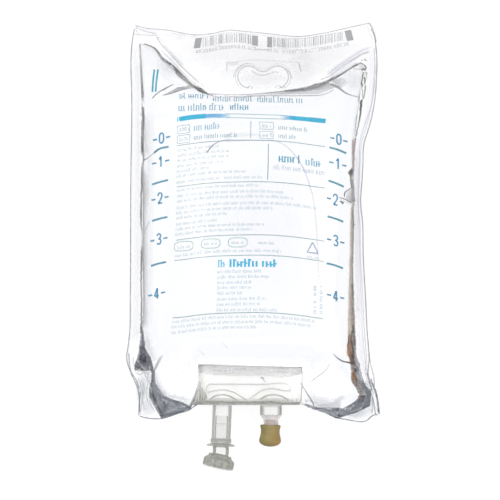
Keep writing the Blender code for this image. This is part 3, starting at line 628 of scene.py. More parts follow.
def addLine(drawing, points, width, colour, strength, fade=0.0, curved=True, soft=0.3, wave=0.0, seed=1):
    # a band along a path in pixels: full strength in its middle, none at both sides, and fading at its ends
    points = np.array(points, dtype=float)
    place = np.concatenate(([0], np.cumsum(np.linalg.norm(np.diff(points, axis=0), axis=1))))
    count = max(3, int(place[-1] / 1.1) + 1)
    q = np.linspace(0, place[-1], count)
    if curved and len(points) > 2:
        path = np.column_stack([curveThrough(np.column_stack((place, points[:, k])))(q) for k in (0, 1)])
    else:
        path = np.column_stack([np.interp(q, place, points[:, k]) for k in (0, 1)])
    if wave:
        draw = np.random.default_rng(seed)
        path = path + draw.normal(0, wave, path.shape)
    heading = np.gradient(path, axis=0)
    heading = heading / np.maximum(np.linalg.norm(heading, axis=1), 1e-9)[:, None]
    side = np.column_stack((-heading[:, 1], heading[:, 0]))
    widths = np.interp(q, place, np.broadcast_to(width, len(points)))
    strengths = np.interp(q, place, np.broadcast_to(strength, len(points)))
    if fade:
        strengths = strengths * np.clip(np.minimum(q, place[-1] - q) / fade, 0, 1)
    colours = np.broadcast_to(colourRows(colour), (len(points), 3))
    light = np.column_stack([np.interp(q, place, colours[:, k]) for k in range(3)])
    cross = np.array((-0.5 - soft / 2, -0.5 + soft / 2, 0.5 - soft / 2, 0.5 + soft / 2))
    flat = path[:, None, :] + side[:, None, :] * (cross[None, :] * widths[:, None])[..., None]
    tint = np.empty((count, 4, 4))
    tint[..., :3] = tone(light)[:, None, :]
    tint[..., 3] = strengths[:, None] * np.array((0, 1, 1, 0))
    keep(drawing, flat.reshape(-1, 2), tint.reshape(-1, 4), gridFaces(count, 4))


def addPatch(drawing, corners, colours, strengths, steps=8):
    # a four-cornered patch, its colour and strength blended between the corners
    corners = np.array(corners, dtype=float)
    q = np.linspace(0, 1, steps + 1)
    s, t = np.meshgrid(q, q)
    share = np.stack(((1 - s) * (1 - t), s * (1 - t), s * t, (1 - s) * t), axis=-1).reshape(-1, 4)
    light = np.broadcast_to(tone(colours), (4, 3))
    tint = np.column_stack((share @ light, share @ np.broadcast_to(np.array(strengths, dtype=float), 4)))
    keep(drawing, share @ corners, tint, gridFaces(steps + 1, steps + 1))


def addGlow(drawing, middle, reach, colour, strength, turn=0.0):
    # an oval of colour, its strength one less the radius squared, squared
    rings = max(9, int(max(reach) / 2.5))
    radius, angle = np.meshgrid(np.linspace(0, 1, rings), np.linspace(0, 2 * np.pi, 49), indexing="ij")
    u, v = radius * np.cos(angle) * reach[0], radius * np.sin(angle) * reach[1]
    flat = np.stack((middle[0] + u * math.cos(turn) - v * math.sin(turn),
                     middle[1] + u * math.sin(turn) + v * math.cos(turn)), axis=-1)
    tint = np.empty(radius.shape + (4,))
    tint[..., :3] = tone(colour)
    tint[..., 3] = strength * (1 - radius ** 2) ** 2
    keep(drawing, flat.reshape(-1, 2), tint.reshape(-1, 4), gridFaces(rings, 49))


def addBand(drawing, rows, colours, strength=1.0, rough=0.25, seed=5):
    # an upright band from rows of height, left edge and right edge, with ragged soft edges
    rows = np.array(rows, dtype=float)
    draw = np.random.default_rng(seed)
    v = np.arange(rows[0, 0], rows[-1, 0] + 0.5, 0.9)
    left, right = (np.interp(v, rows[:, 0], rows[:, k]) + draw.normal(0, rough, len(v)) for k in (1, 2))
    q = np.array((-0.5, 0, 0.33, 0.67, 1, 1.5))
    soft = np.stack([left - 0.5, left + 0.3, *(left + (right - left) * k for k in (0.33, 0.67)),
                     right - 0.3, right + 0.5], axis=1)
    flat = np.stack((soft, np.broadcast_to(v[:, None], soft.shape)), axis=-1)
    share = np.clip(q, 0, 1)[None, :, None] + draw.normal(0, 0.12, (len(v), 1, 1))
    first, last = tone(colours)
    light = first + (last - first) * np.clip(share, 0, 1)
    light = light * (1 + draw.normal(0, 0.07, (len(v), len(q), 1)))
    fade = np.array((0, 1, 1, 1, 1, 0))[None, :] * np.ones((len(v), 1)) * strength
    tint = np.concatenate((np.clip(light, 0, 1), fade[..., None]), axis=-1)
    keep(drawing, flat.reshape(-1, 2), tint.reshape(-1, 4), gridFaces(len(v), len(q)))


def addStreaks(drawing, path, spread, count, colours, strength=0.8, seed=3, length=(0.12, 0.4)):
    # short thin lines that keep to a band along a path, each with its own place, length and colour
    path, colours = np.array(path, dtype=float), colourRows(colours)
    draw = np.random.default_rng(seed)
    t = np.linspace(0, 1, len(path))
    heading = np.gradient(path, axis=0)
    heading = heading / np.linalg.norm(heading, axis=1)[:, None]
    spread = np.broadcast_to(spread, len(path))
    for _ in range(count):
        start = draw.uniform(0, 1 - length[0])
        q = np.linspace(start, min(1, start + draw.uniform(*length)), 5)
        off = draw.uniform(-0.5, 0.5) * np.interp(q, t, spread) + draw.normal(0, 0.15, 5)
        u = np.interp(q, t, path[:, 0]) - np.interp(q, t, heading[:, 1]) * off
        v = np.interp(q, t, path[:, 1]) + np.interp(q, t, heading[:, 0]) * off
        wide, pick = draw.uniform(0.6, 1.2), draw.integers(len(colours))
        strong = strength * draw.uniform(0.4, 1)
        addLine(drawing, np.column_stack((u, v)), wide, colours[pick], strong, fade=1.2)


def addBlocks(drawing, boxes, colour, strength):
    # upright boxes given as rows of left, top, right, bottom and the rise of their right side
    boxes = np.atleast_2d(np.array(boxes, dtype=float))
    left, top, right, bottom, rise = boxes.T
    flat = np.stack((np.column_stack((left, top)), np.column_stack((right, top - rise)),
                     np.column_stack((right, bottom - rise)), np.column_stack((left, bottom))), axis=1)
    tint = np.empty((len(boxes) * 4, 4))
    tint[:, :3] = tone(colour)
    tint[:, 3] = np.repeat(np.broadcast_to(strength, len(boxes)), 4)
    keep(drawing, flat.reshape(-1, 2), tint, np.arange(len(boxes) * 4).reshape(-1, 4))


def finishDrawing(drawing, name, material, lift=0.06 * mm):
    # the drawing laid on the front film, raised by the lift, its colours and strengths in an attribute
    flat = pixels(np.concatenate(drawing["flat"]))
    points = np.column_stack((flat, frontTop(flat[:, 0], flat[:, 1]) + lift))
    item = meshFrom(name, points, np.concatenate(drawing["faces"])[:, ::-1])
    paint(item, "tint", np.concatenate(drawing["tint"]))
    item.data.materials.append(material)
    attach(item, "bag")


def pensFor(drawing):
    # the drawing's own line, patch, streaks and band
    return [partial(pen, drawing) for pen in (addLine, addPatch, addStreaks, addBand)]


def paint(item, label, values):
    # one colour for each point of the piece
    layer = item.data.color_attributes.new(label, "FLOAT_COLOR", "POINT")
    layer.data.foreach_set("color", values.astype(np.float32).ravel())


def markMaterial(name, roughness, grain, grainSize, glow=0.0):
    # the tint's colour, its strength broken up by a fine noise, and for lit film a little light of its own
    made, add = newMaterial(name)
    tint = add("Attribute", attribute_name="tint")
    span = spanNode(add, cloudNoise(add, grainSize, 3), 0.36, 0.58, 1 - grain, 1)
    strength = add("Math", {0: tint.outputs["Alpha"], 1: span}, operation="MULTIPLY")
    sockets = {"Roughness": roughness, "Specular IOR Level": 0.2, "Base Color": tint, "Alpha": strength}
    if glow:
        sockets.update({"Emission Color": tint, "Emission Strength": glow})
    add("OutputMaterial", {0: add("BsdfPrincipled", sockets)})
    return made


# the drawings' materials, in turn: print ink; painted shade and the block's weld lines; film edges, weld
# lines and painted crease shade; painted soft shade; painted light with a little light of its own
inkMaterial = markMaterial("printInk", 0.45, 0.18, 1800)
foldMaterial = markMaterial("foldShade", 0.3, 0.16, 700)
edgeAndCreaseShadeMaterial = markMaterial("cutEdge", 0.25, 0.3, 420)
softMaterial = markMaterial("softShade", 0.4, 0.04, 90)
litMaterial = markMaterial("litFilm", 0.4, 0.04, 300, 0.3)


# Edges of the films: a thin double line at the cut edge, drawn a little inside it

def planToPixel(x, y):
    # the pixel of a plan place, the other way round from the line of sight
    z = baseTop(x, y)
    middle, scale, eyeX, eyeY, distance = sight()
    reach = scale * (photoFrame["cameraHeight"] - z) / distance
    u = middle + (x - eyeX) / reach
    v = middle - (y - eyeY) / reach
    return np.column_stack((u, v))


cutEdges = {
    "inset": 0.3 * mm, "width": 1.1, "grey": "94969c", "faintGrey": "babcc4",
    "secondInset": 1.75 * mm, "points": 60,
}


def sideEdge(y, side, inset):
    # pixels along a side's cut edge, moved in by the inset
    edge = edgeLeft(y) + inset if side < 0 else edgeRight(y) - inset
    return planToPixel(edge, y)


edges = newDrawing()
for side in (-1, 1):
    y = np.linspace(-84 * mm, 116 * mm, cutEdges["points"])
    reach = edgeLeft(y) if side < 0 else edgeRight(y)
    y = y[(y > edgeBottom(reach) + 0.4 * mm) & (y < edgeTop(reach) - 0.4 * mm)]
    addLine(edges, sideEdge(y, side, cutEdges["inset"]), cutEdges["width"], cutEdges["grey"], 0.95)
    low = y[(y < 96 * mm) & (y > -74 * mm)]
    addLine(edges, sideEdge(low, side, cutEdges["secondInset"] * (1 if side > 0 else 0.55)), 0.75,
            cutEdges["faintGrey"], 0.6 if side > 0 else 0.2, fade=12)
x = np.linspace(-60.5 * mm, 62.5 * mm, cutEdges["points"])
addLine(edges, planToPixel(x, edgeTop(x) - 0.35 * mm), 1, "b0b1b8", 0.85)
addLine(edges, planToPixel(x[8:-8], edgeTop(x[8:-8]) - 1.5 * mm), 0.7, "d6d6dc", 0.5, fade=10)
for low, high in ((-57.9, -28), (28, 66)):
    x = np.linspace(low * mm, high * mm, 34)
    addLine(edges, planToPixel(x, edgeBottom(x) + 0.3 * mm), 1.1, "787e8a", 0.9)

# painted shade along the small turned-over corners and the folds in the flat film
for points, width, grey, strength in (
        (((133.5, 26.5), (138, 28.5), (146, 31.5), (155, 34), (160, 40)), 1, 196, 0.8),
        (((131.9, 33.5), (138, 34.6), (146, 35), (156, 35.7)), 1, 188, 0.8),
        (((137.5, 24.5), (136, 30), (139, 34)), 0.9, 200, 0.7),
        (((368.2, 21.6), (371.7, 27.1), (374.9, 36), (376.4, 43.7)), 1.5, 150, 0.8),
        (((366, 24.5), (369.5, 32), (373, 41)), 1, 206, 0.6),
        (((160.5, 50), (171, 60), (184, 73.5), (198.5, 86.5), (206, 91)), 0.9, 208, 0.7),
        (((156, 36), (161.7, 45), (171, 54.6), (182, 66.7), (198.5, 82.7)), 1, 172, 0.85),
        (((158.5, 36.5), (164, 45), (173.2, 54.2), (184, 66)), 0.9, 208, 0.7),
        (((374, 46), (361.5, 50.6), (350, 58), (338, 66), (327, 75)), 0.8, 214, 0.8),
        (((370, 51.7), (361.5, 54.5), (355, 58.4), (348.8, 62.2), (340, 68), (329.6, 76), (320, 80)), 1,
            186, 0.8),
        (((177, 62), (185, 70), (197, 80), (205, 88)), 0.8, 206, 0.5)):
    addLine(edges, points, width, (grey, grey, grey + 4), strength, fade=3)

# painted soft shade: pale lavender along the film's side margins, a fold and the upper left corner, and faint
# grey ovals over the header, the chamber, the upper corners and both lower corners
soft = newDrawing()
for points, width, strength in (
        (((372, 48.4), (361.5, 52.4), (351.4, 59), (339, 67.4), (327, 76.4)), 4.5, 0.9),
        (((135.6, 44), (135, 90), (135, 150), (135.2, 220), (134.4, 290), (133.6, 345)), 8, 0.22),
        (((372, 50), (371, 92), (366, 120), (359.6, 146), (358, 176), (357.4, 220), (359.6, 290),
            (362, 350), (366, 376)), 9, 0.36),
        (((136, 28), (160, 33), (186, 37)), 5, 0.3)):
    addLine(soft, points, width, "e9e8f3", strength, fade=6, soft=0.9)
for middle, reach, colour, strength, turn in (
        ((262, 60), (74, 36), "e7e6ea", 0.5, 0), ((262, 78), (28, 11), "e4e4e7", 0.3, 0),
        ((300, 72), (16, 22), "e5e5e8", 0.3, 0), ((196, 52), (34, 24), "e7e6ea", 0.2, 0.3),
        ((330, 52), (42, 20), "e7e6ea", 0.3, -0.3), ((262, 222), (64, 92), "eeeef6", 0.4, 0),
        ((142, 390), (8, 22), "d6d9e2", 0.7, 0.1), ((147, 408), (9, 11), "dadce4", 0.6, 0),
        ((369, 398), (7, 22), "dadce6", 0.6, -0.2), ((360, 413), (15, 7), "dadce6", 0.6, -0.3),
        ((326, 402), (20, 7), "eeeef4", 0.5, 0.25), ((352, 80), (12, 14), "e8e8ee", 0.6, 0),
        ((168, 66), (16, 20), "ececf2", 0.5, 0.9)):
    addGlow(soft, middle, reach, colour, strength, turn)
finishDrawing(soft, "softShades", softMaterial, 0.03 * mm)

# inner line of the right side weld, and painted shade along the kinks at both lower corners
for points, width, colour, strength in (
        (((374, 47), (375, 70), (373.6, 92), (371.5, 104), (367, 118), (361.8, 134), (359.2, 147),
            (359.6, 160), (358.2, 176), (358.5, 200), (359.4, 250), (361.5, 300), (363.2, 340), (367, 372),
            (371, 388)), 0.9, "b2b2ba", (0.7, 0.7, 0.7, 0.7, 0.7, 0.6, 0.5, 0.4, 0.3, 0.25, 0.25, 0.25,
            0.3, 0.4, 0.7)),
        (((139.5, 390), (137, 382), (131.2, 371.5), (128.6, 352)), 1.2, "8c929e", 0.8),
        (((140.5, 390.5), (139.2, 404), (138.8, 416.5)), 1.2, "969ba5", 0.9),
        (((137.8, 377), (140.6, 385), (142.5, 391), (141.6, 404), (140.2, 416)), 0.8, "bec2ca", 0.7),
        (((371.4, 381), (376.4, 393.5), (378.4, 405), (379.2, 414.5)), 1.5, "767a84", 0.9),
        (((368.4, 388), (372.6, 398), (374.6, 408), (375.6, 415.4)), 1.2, "80848e", 0.8),
        (((366.5, 372), (370, 384), (372.5, 392)), 1.4, "60646e", 0.8),
        (((133.2, 356), (133.6, 364), (135.7, 369)), 0.8, "c4c7ce", 0.7),
        (((134.6, 371), (139.6, 374.6), (145, 372.4), (149.6, 376)), 1, "c4c6ce", 0.8),
        (((144, 372), (147.6, 382), (146.4, 394), (148.4, 404)), 1.2, "d6d8de", 0.7),
        (((141.6, 380), (144, 388), (142.6, 400), (145, 412)), 1.4, "ced0d8", 0.6),
        (((148.6, 394), (150.6, 404), (154.6, 412)), 1, "c4c8d0", 0.6),
        (((369, 352), (370.6, 364), (373.6, 376), (374.6, 388)), 1.1, "aaacb6", 0.8),
        (((372.3, 397), (372.6, 405), (371.6, 414)), 1.4, "b0b2b8", 0.7),
        (((371.2, 378), (371.6, 382.6)), 1.6, "54565c", 0.85),
        (((375.8, 395), (376.8, 397.6)), 1.6, "686a6e", 0.85),
        (((377.6, 400), (378.6, 407), (379, 415)), 1.2, "54585e", 0.85)):
    addLine(edges, points, width, colour, strength, fade=2)
finishDrawing(edges, "filmEdgesAndCreaseShade", edgeAndCreaseShadeMaterial)
print("edges")


# Header: welds, the slot's rim and tongue, the reinforcing weld round it

header = newDrawing()
line, patch = pensFor(header)[:2]
slotPlace = (slot["x"], plan["headerWeld"] + slot["aboveWeld"])
slotLine = planToPixel(*(kidneyOutline(-0.25 * mm)[:-13] + slotPlace).T)
line(slotLine[1:], 0.95, "bababe", 0.95)
slotLine = planToPixel(*(kidneyOutline(-1.5 * mm)[1:-15] + slotPlace).T)
line(slotLine, 0.8, "d8d6da", 0.55, fade=6)
for points, width, grey, strength in (
        (((226.2, 62), (226.8, 67), (227.2, 73.4)), 0.9, 200, 0.8),
        (((299, 62.4), (299.8, 67), (301.2, 72)), 1.1, 176, 0.85),
        (((226.2, 62), (236, 61.6), (252, 60), (276, 61), (298, 62.2)), 0.8, 226, 0.7),
        (((212, 45.5), (232, 46.8), (255, 49.6), (282, 48.6), (304, 50)), 0.8, 226, 0.6),
        (((246, 88.5), (249, 86.6), (252.6, 87.4), (250.4, 89.4)), 0.8, 196, 0.8),
        (((274, 87.6), (277.6, 86), (281, 86.6), (279.8, 88.2)), 0.8, 196, 0.8),
        (((233.5, 78.4), (234.2, 74), (235.7, 71.2), (239.5, 67), (244.6, 63.9), (249, 63.2)), 0.9, 196,
            0.75),
        (((283.5, 68), (288, 70.9), (290.6, 74.6), (292.4, 79.4)), 0.9, 190, 0.75),
        (((251.4, 70.4), (254.8, 72.9), (258, 74.8), (261.2, 75.3), (267, 74.6), (272, 72.6),
            (275.3, 71.9), (279.6, 72.7)), 0.9, 188, 0.75),
        (((277, 88.4), (281.8, 87.9), (285.6, 86.4)), 0.7, 206, 0.7)):
    line(points, width, (grey, grey, grey + 2), strength, fade=1.5)
patch(((227, 62), (238, 61.6), (238, 65), (227, 65.4)), "e0e0e3", 0.6, 4)
line(((255, 49.4), (262, 49.6), (270, 50)), 1.2, "bebec6", 0.7, fade=2)
finishDrawing(header, "headerWeld", edgeAndCreaseShadeMaterial)

# Chamber rim: painted shade, the dark line where the liquid meets the welds, brown where it is thickest, with
# painted highlights in it and paler painted shade beside it
rim = newDrawing()
line, patch, streaks, band = pensFor(rim)
line(((139.6, 43.5), (140.6, 60), (141.4, 74), (142, 84), (142.6, 94), (142.9, 101)),
    (1.5, 1.8, 1.8, 1.9, 2.2, 1.6), "848482 747472 686866 66655c 5c5a4e 827e6c",
    (0.7, 0.8, 0.85, 0.95, 0.95, 0.35), wave=0.12)
line(((142.6, 107), (143.2, 118), (142.6, 134), (142.4, 150), (143.8, 160)), (2.6, 2.3, 2.5, 2.6, 1.4),
    "545454 4c4c4e 58585a 464648 68686a", (1, 1, 0.95, 1, 0.5), wave=0.2, seed=2)
streaks(((141.6, 108), (141.8, 134), (141.6, 156)), 1.6, 14, "f0f0f2 969698 48484a", 0.9, 51, (0.04, 0.12))
line(((143.6, 160), (142, 168), (141.9, 185), (141.1, 200), (141, 215), (141.4, 228), (142.2, 236),
    (142.3, 244), (141.8, 252), (141.5, 262), (141.2, 284), (141.4, 305), (141.3, 322), (141.2, 333)),
    (1.2, 1.4, 1.9, 1.5, 1.8, 1.3, 0.8, 0.9, 2, 1.8, 1.3, 1.5, 1.5, 2.2), "787878 707070 62615e 6c6a64 "
    "5c5a56 707070 969696 969592 585754 605e58 787672 6e6c66 747470 5c5f64", (0.5, 0.8, 0.95, 0.85, 0.95,
    0.8, 0.35, 0.45, 0.95, 0.9, 0.8, 0.85, 0.85, 1), wave=0.25, seed=3)
line(((145, 112), (145.4, 140), (145.8, 158)), 3.5, "c4c2be", (0.2, 0.4, 0.4), fade=6, soft=0.9)
line(((144.2, 168), (144.8, 192), (144, 220), (144.4, 256), (144.2, 290), (144.6, 330)),
    (3.6, 5.5, 2.8, 4.4, 3.2, 4.6), "bcbbb8", (0.5, 0.65, 0.4, 0.6, 0.5, 0.55), fade=8, soft=0.95)
line(((148, 110), (148.5, 160), (147.4, 220), (147, 280), (147.4, 330)), 7, "dadadd", 0.3, fade=14,
    soft=0.98)
line(((149.6, 220.8), (147, 227), (144.5, 233.4)), 1.4, "d6d5d8", 0.7, fade=2, soft=0.7)
line(((138.4, 60), (138.8, 120), (138.2, 200), (137.6, 280), (137.2, 340)), 5, "e0e1e6", 0.25, fade=8,
    soft=0.95)

line(((361.6, 99.4), (361, 106), (360.4, 113.6), (358.6, 124), (357, 131), (356, 137)),
    (2.3, 2.4, 1.8, 1.4, 1.3, 1.4), "686460 504e4c 585654 686462 6e6a68 746e6c",
    (0.9, 1, 0.95, 0.9, 0.9, 0.9), wave=0.2, seed=4)
line(((355.6, 138), (354.8, 144), (354, 152), (353.8, 160), (353.4, 166), (352.6, 171)),
    (1.4, 1.8, 2.2, 2, 2, 2.6), "686260 706058 786256 746258 6e6258 58544e", 0.95, wave=0.2, seed=5)
line(((353, 139.4), (353, 146), (352.6, 154), (352.8, 165)), (1.8, 1.9, 1.3, 1),
    "c49e8c b08674 be9886 ceb0a0", 0.85, soft=0.6, wave=0.15)
line(((351.6, 170), (351.2, 178), (352.8, 188), (353, 196), (354.4, 202)), (3.6, 2.6, 3.4, 3.2, 2.4),
    "54524e 7e7c54 5c5850 54504a 68625a", (1, 0.9, 1, 1, 0.95))
patch(((347.6, 172.4), (352, 167.6), (353.4, 172), (350, 176.6)), "64625e", (0.8, 0.9, 1, 0.8), 4)
band(((203, 352, 354.6), (212, 350.8, 353.8), (220, 350.6, 354), (225, 350.6, 354.8), (230, 350.4, 353.6),
    (250, 350.2, 353.4), (262, 349.6, 353), (278, 349.4, 353.2), (290, 348.8, 353.8), (305, 348.6, 354),
    (318, 348.2, 354.8), (335, 348, 355.2), (342, 347.8, 355.4)), "ccb496 7a7066", 0.9, 0.2, 12)
streaks(((353, 206), (353.2, 230), (352.4, 262), (353, 300), (353.4, 332)), 1.2, 18,
    "625a54 7a7066 8c8072", 0.7, 52, (0.05, 0.18))
line(((357, 150), (357, 200), (357.6, 260), (358, 320)), 4, "dedee4", 0.3, fade=10, soft=0.9)
finishDrawing(rim, "chamberRimShade", foldMaterial)
print("rim")


# Painted shade: wedges under the header weld, creases and the facets of both lower corners, with painted
# highlights among them

shade = newDrawing()
line, patch, streaks, band = pensFor(shade)
line(((143.9, 43.7), (153.7, 47.7), (164, 60), (173, 66), (178, 72.5), (184.5, 78.5), (191, 84), (200, 90),
    (208, 94)), (1.2, 1.6, 2.6, 1.7, 4.6, 4.2, 2, 3.4, 1.6),
    "848484 707070 6c6c6e 6e6c6a 605e5c 787268 706c64 5c5c5c 828282",
    (0.8, 0.95, 1, 0.95, 1, 0.9, 0.9, 1, 0.8), soft=0.45)
patch(((193.5, 86.5), (201, 88), (209, 94.4), (199, 91.4)), "606062", (0.9, 0.95, 0.7, 0.9), 5)
patch(((184.6, 82), (190, 84.2), (193.5, 88), (188, 85.6)), "968c74", (0.2, 0.5, 0.5, 0.3), 4)
line(((208.5, 93.8), (224, 94.4), (250, 94.2), (285, 91.2), (304, 89.4)), (1, 0.8, 0.8, 1.6, 2.4),
    "88888a bebec0 b0b0b2 969698 848486", (0.9, 0.7, 0.75, 0.9, 1))
line(((284.6, 91), (306, 88.6), (318, 85.6), (327.5, 81.6), (340, 75), (350, 68.6), (358.8, 63.6)),
    (1.6, 3.2, 4.2, 2.8, 1.9, 1.5, 1), "8c8c8e 88888a 929294 787878 686866 807e7a 96948e",
    (0.8, 0.9, 0.9, 0.95, 1, 0.9, 0.8), soft=0.5)
patch(((314, 83.6), (329, 82.6), (336.6, 87.4), (302, 92)), "9e9ea0", (0.9, 0.8, 0.5, 0.7), 6)
patch(((252, 94.2), (304, 91), (336, 87.6), (318, 94.2)), "ceced0", (0.5, 0.6, 0.7, 0.7), 6)
line(((224, 95.6), (240, 97), (256, 95.9), (280, 95.6), (302.5, 95.7), (324.8, 94), (333.8, 89.8)), 0.9,
    "acacb0", (0.4, 0.7, 0.7, 0.7, 0.9, 0.9, 0.6))
# painted shade of a crease: its dark lower wedge, and the pale run between them
line(((151.7, 98.6), (157.5, 93), (164.6, 88.8), (173.8, 84)), (1.2, 1, 1.4, 0.9),
    "78787a 828282 6e6e70 969696", 0.9, fade=1.5)
patch(((161.5, 95.6), (178, 87.2), (186, 88), (171, 94)), "a0a0a2", (0.4, 0.85, 0.9, 0.8), 6)
patch(((176, 87.6), (190.6, 85.2), (195, 88.2), (185, 89)), "9e9ea2", (0.8, 0.5, 0.5, 0.9), 5)
line(((162, 95.4), (170, 93.6), (180, 90.6), (188, 88.4)), 0.8, "707074", 0.7, fade=2)
line(((143.4, 160.6), (148, 157.6), (154.4, 152.6), (158, 149.8)), (1.3, 1, 1, 1.2), "707278",
    (0.9, 0.5, 0.6, 0.4))
line(((330.4, 83.6), (338, 87.2), (345, 92.4), (352, 95.4), (358.6, 97)), (1.6, 2.2, 1.6, 1, 0.8),
    "969696 848484 8c8c8c a0a0a0 bababc", 0.9, soft=0.5)
patch(((331, 82), (341, 78), (350, 83), (341, 88)), "d6d6d8", (0.7, 0.3, 0.1, 0.5), 5)
# crumpled film at the upper right corner: painted shade of dark folds round painted highlights on white ones,
# then a chain of painted shade and highlights down the side weld
for points, width, grey, strength in (
        (((352.4, 66.8), (356, 65.2), (359.4, 63.6)), (1.6, 2, 1), 124, 0.9),
        (((353.4, 68.4), (356.6, 69.2), (360, 69), (362, 70)), 0.8, 186, 0.9),
        (((359.6, 62.2), (362.4, 64), (365.8, 66.2), (365.9, 69)), (0.8, 1.2, 1.2, 1.4), 112, 0.9),
        (((361.4, 70.2), (363.6, 69.2), (366, 69.6)), (1.4, 2.6, 2), 132, 0.9),
        (((364.1, 59), (366.6, 60.8)), 1.2, 118, 0.9), (((361, 60.6), (363, 60)), 1, 196, 0.8),
        (((362.4, 72.6), (366.4, 72), (367.4, 74)), 0.9, 176, 0.8),
        (((363.8, 72.8), (362.6, 75.6), (363, 78), (361.9, 80.6), (361.6, 83.4)), (1.2, 1, 1.3, 1, 1.4),
            92, 0.95),
        (((366, 72.6), (366.5, 76), (365.8, 80)), 0.9, 168, 0.8),
        (((364.4, 77), (365, 80.4), (364.5, 84.4)), (1, 1.8, 1.4), 116, 0.9),
        (((361, 84), (362.8, 84.6)), 1.6, 96, 0.9),
        (((362, 85.6), (361.6, 88), (362.6, 91), (362.2, 95), (362.8, 99)), 0.9, 158, 0.85),
        (((365.1, 85), (365.3, 89), (364.3, 94), (363.4, 99)), 1.3, 142, 0.9)):
    line(points, width, (grey, grey - 3, grey - 8), strength, curved=False)
patch(((355.6, 65.8), (363.4, 63.6), (365, 68.4), (357, 68.6)), 255, 0.9, 4)
streaks(((363.4, 74), (363.4, 84), (363.6, 97)), 3.4, 16, "969490 c4c2be ffffff", 0.9, 53, (0.05, 0.16))
patch(((331, 80.6), (343, 77), (347, 82), (341, 87)), "ceced1", (0.9, 0.3, 0.1, 0.4), 8)
# pinch beside the scale: painted shade of a small fold, and a painted highlight below where it catches the
# light
line(((344.5, 197), (344.6, 193.6), (345.8, 191.2), (348.2, 190), (350.4, 188.2)), (0.9, 1.4, 1, 1, 1.2),
    "6e6e74 58585e 78787e 78787c 68686c", 0.95)
patch(((346, 191.6), (352.6, 188), (353.4, 203), (346, 198.6)), "ececee cecdcf 8c8b8d c4c4c8",
    (0.3, 0.8, 0.95, 0.7), 10)
line(((339.6, 200), (345, 201.2), (351.4, 204.6)), 2.2, 255, 0.95)
line(((339.4, 197.6), (344, 198.7), (348, 200.8), (351.4, 202.8)), (1.2, 1, 1.1, 1.6),
    "586470 6e7076 787676 828080", (0.9, 0.85, 0.9, 0.8))
line(((340.2, 200.8), (342, 202.6), (343.4, 204)), 1.5, "68707c", 0.85)

# lower left: painted shade of the dark column, the fold below it and the facet that turns under, with painted
# highlights
band(((331, 141.2, 143.4), (340, 140.2, 144), (347, 139.2, 144.8), (353, 139, 147.6), (357, 137.6, 150.6),
    (361, 136.2, 152), (365, 134.8, 152.8), (368.4, 134.4, 153.6), (371, 135.4, 152.6)), "747884 62646e")
band(((346, 139.6, 143.6), (353, 140.4, 146), (359, 138.6, 146), (363, 140.4, 145.6)), "56585e 52545a",
    0.6)
streaks(((138, 360), (144, 364), (150, 366)), (8, 8, 6), 16, "969ba5 a0a4ae 505260 585a6a", 0.6, 34,
    (0.15, 0.4))
patch(((140, 356), (148.6, 355), (149, 366), (141, 367)), "505364", (0.5, 0.7, 0.3, 0.5), 6)
patch(((134.4, 367), (139.6, 364.6), (142, 369.6), (135.4, 371)), "969aa4", (0.7, 0.3, 0.3, 0.9), 5)
line(((148.4, 365.6), (150, 367.8), (148.6, 370)), 1.8, "c4c8d0", 0.8, fade=1)
line(((135.8, 372), (138.4, 370.4), (141, 370.4), (143.4, 372)), 2.4, "fcfcfe", 0.95)
line(((144.4, 372.4), (147.6, 371.6), (150.6, 373.4)), 2.2, "fcfcfe", 0.95)
band(((370, 151, 154.4), (374, 151.6, 154.8), (380, 151.6, 155), (384, 150.4, 155.8), (388, 149.4, 158),
    (392, 149.2, 160.4), (396, 149.6, 165), (399, 150.6, 171.4), (402, 152.4, 182), (405, 154, 188.4),
    (407.4, 155.2, 190.6), (410, 156.6, 187), (413, 158.2, 180), (416, 160, 170.4), (418.4, 161.4, 163)),
    "6e7178 8f95a0")
streaks(((152.6, 371), (152.8, 384), (152.4, 394), (155, 404), (160.8, 416)), (1.5, 3, 4.4, 5, 3), 16,
    "56585e 606268 6c7078", 0.8, 31)
streaks(((157.6, 391), (160.4, 398), (163.4, 408), (163, 416)), (2, 4, 4, 2), 9, "a0a4aa 8e929a 969aa0",
    0.8, 32)
streaks(((161, 397.4), (170, 399.6), (180, 402.4), (189, 408)), (1.6, 3, 3.4, 1.4), 10,
    "70767e 80848a a4a7ac", 0.8, 33)
line(((155.6, 384.4), (159.6, 390.6), (164.6, 395.6), (172, 400.2), (180, 402.6), (186, 406),
    (190.6, 408.4)), (0.9, 1, 1.2, 1.4, 1.3, 1.2, 1.4), "7c8086 7c8086 96989c 7a7c80 6e7178 7c8086 56585e",
    0.9)
line(((163.6, 401), (164.6, 407), (163.2, 413), (162, 418)), 1.4, "72767e", (0.3, 0.9, 0.7, 0.8))
line(((162.2, 418.4), (172, 414.2), (182, 411.4), (190.4, 408.6)), 1.1, "6e7682", 0.9)
line(((156.4, 372), (156.8, 380), (159.4, 388), (165, 394)), 4.5, "cccdd2", (0, 0.3, 0.7, 0.3), soft=0.95)
line(((146, 328), (147, 342), (151, 353), (154.6, 361)), 6, "ceced3", (0, 0.55, 0.5, 0.2), soft=0.95)
line(((162.6, 355), (159.4, 360), (156.6, 365.4), (153.8, 371.4)), (1, 2.2, 2.4, 1.6),
    "c4c4c7 acadb1 b0b1b5 84868c", (0.7, 0.9, 0.8, 0.9), soft=0.6)
line(((163, 392), (172, 396), (182, 398), (190, 400)), 5, "e2e4e8", (0.5, 0.7, 0.6, 0.4), soft=0.95)
line(((199.4, 381), (196.8, 390), (193.4, 399), (189.6, 408)), (0.8, 1.2, 1.8, 2.2),
    "c8c9cc b8babe a6a9b0 848890", 0.85, soft=0.6)
line(((199.2, 350.8), (202.6, 353.4), (205.4, 356.2)), 0.7, "e2e2e8", 0.6, fade=2)
line(((220.8, 341.2), (224.8, 345.2), (228, 348.4)), 0.8, "eaeaee", 0.6, fade=3)
line(((172, 364), (180, 370), (186.4, 376)), 0.7, "dedfe4", 0.6, fade=4)
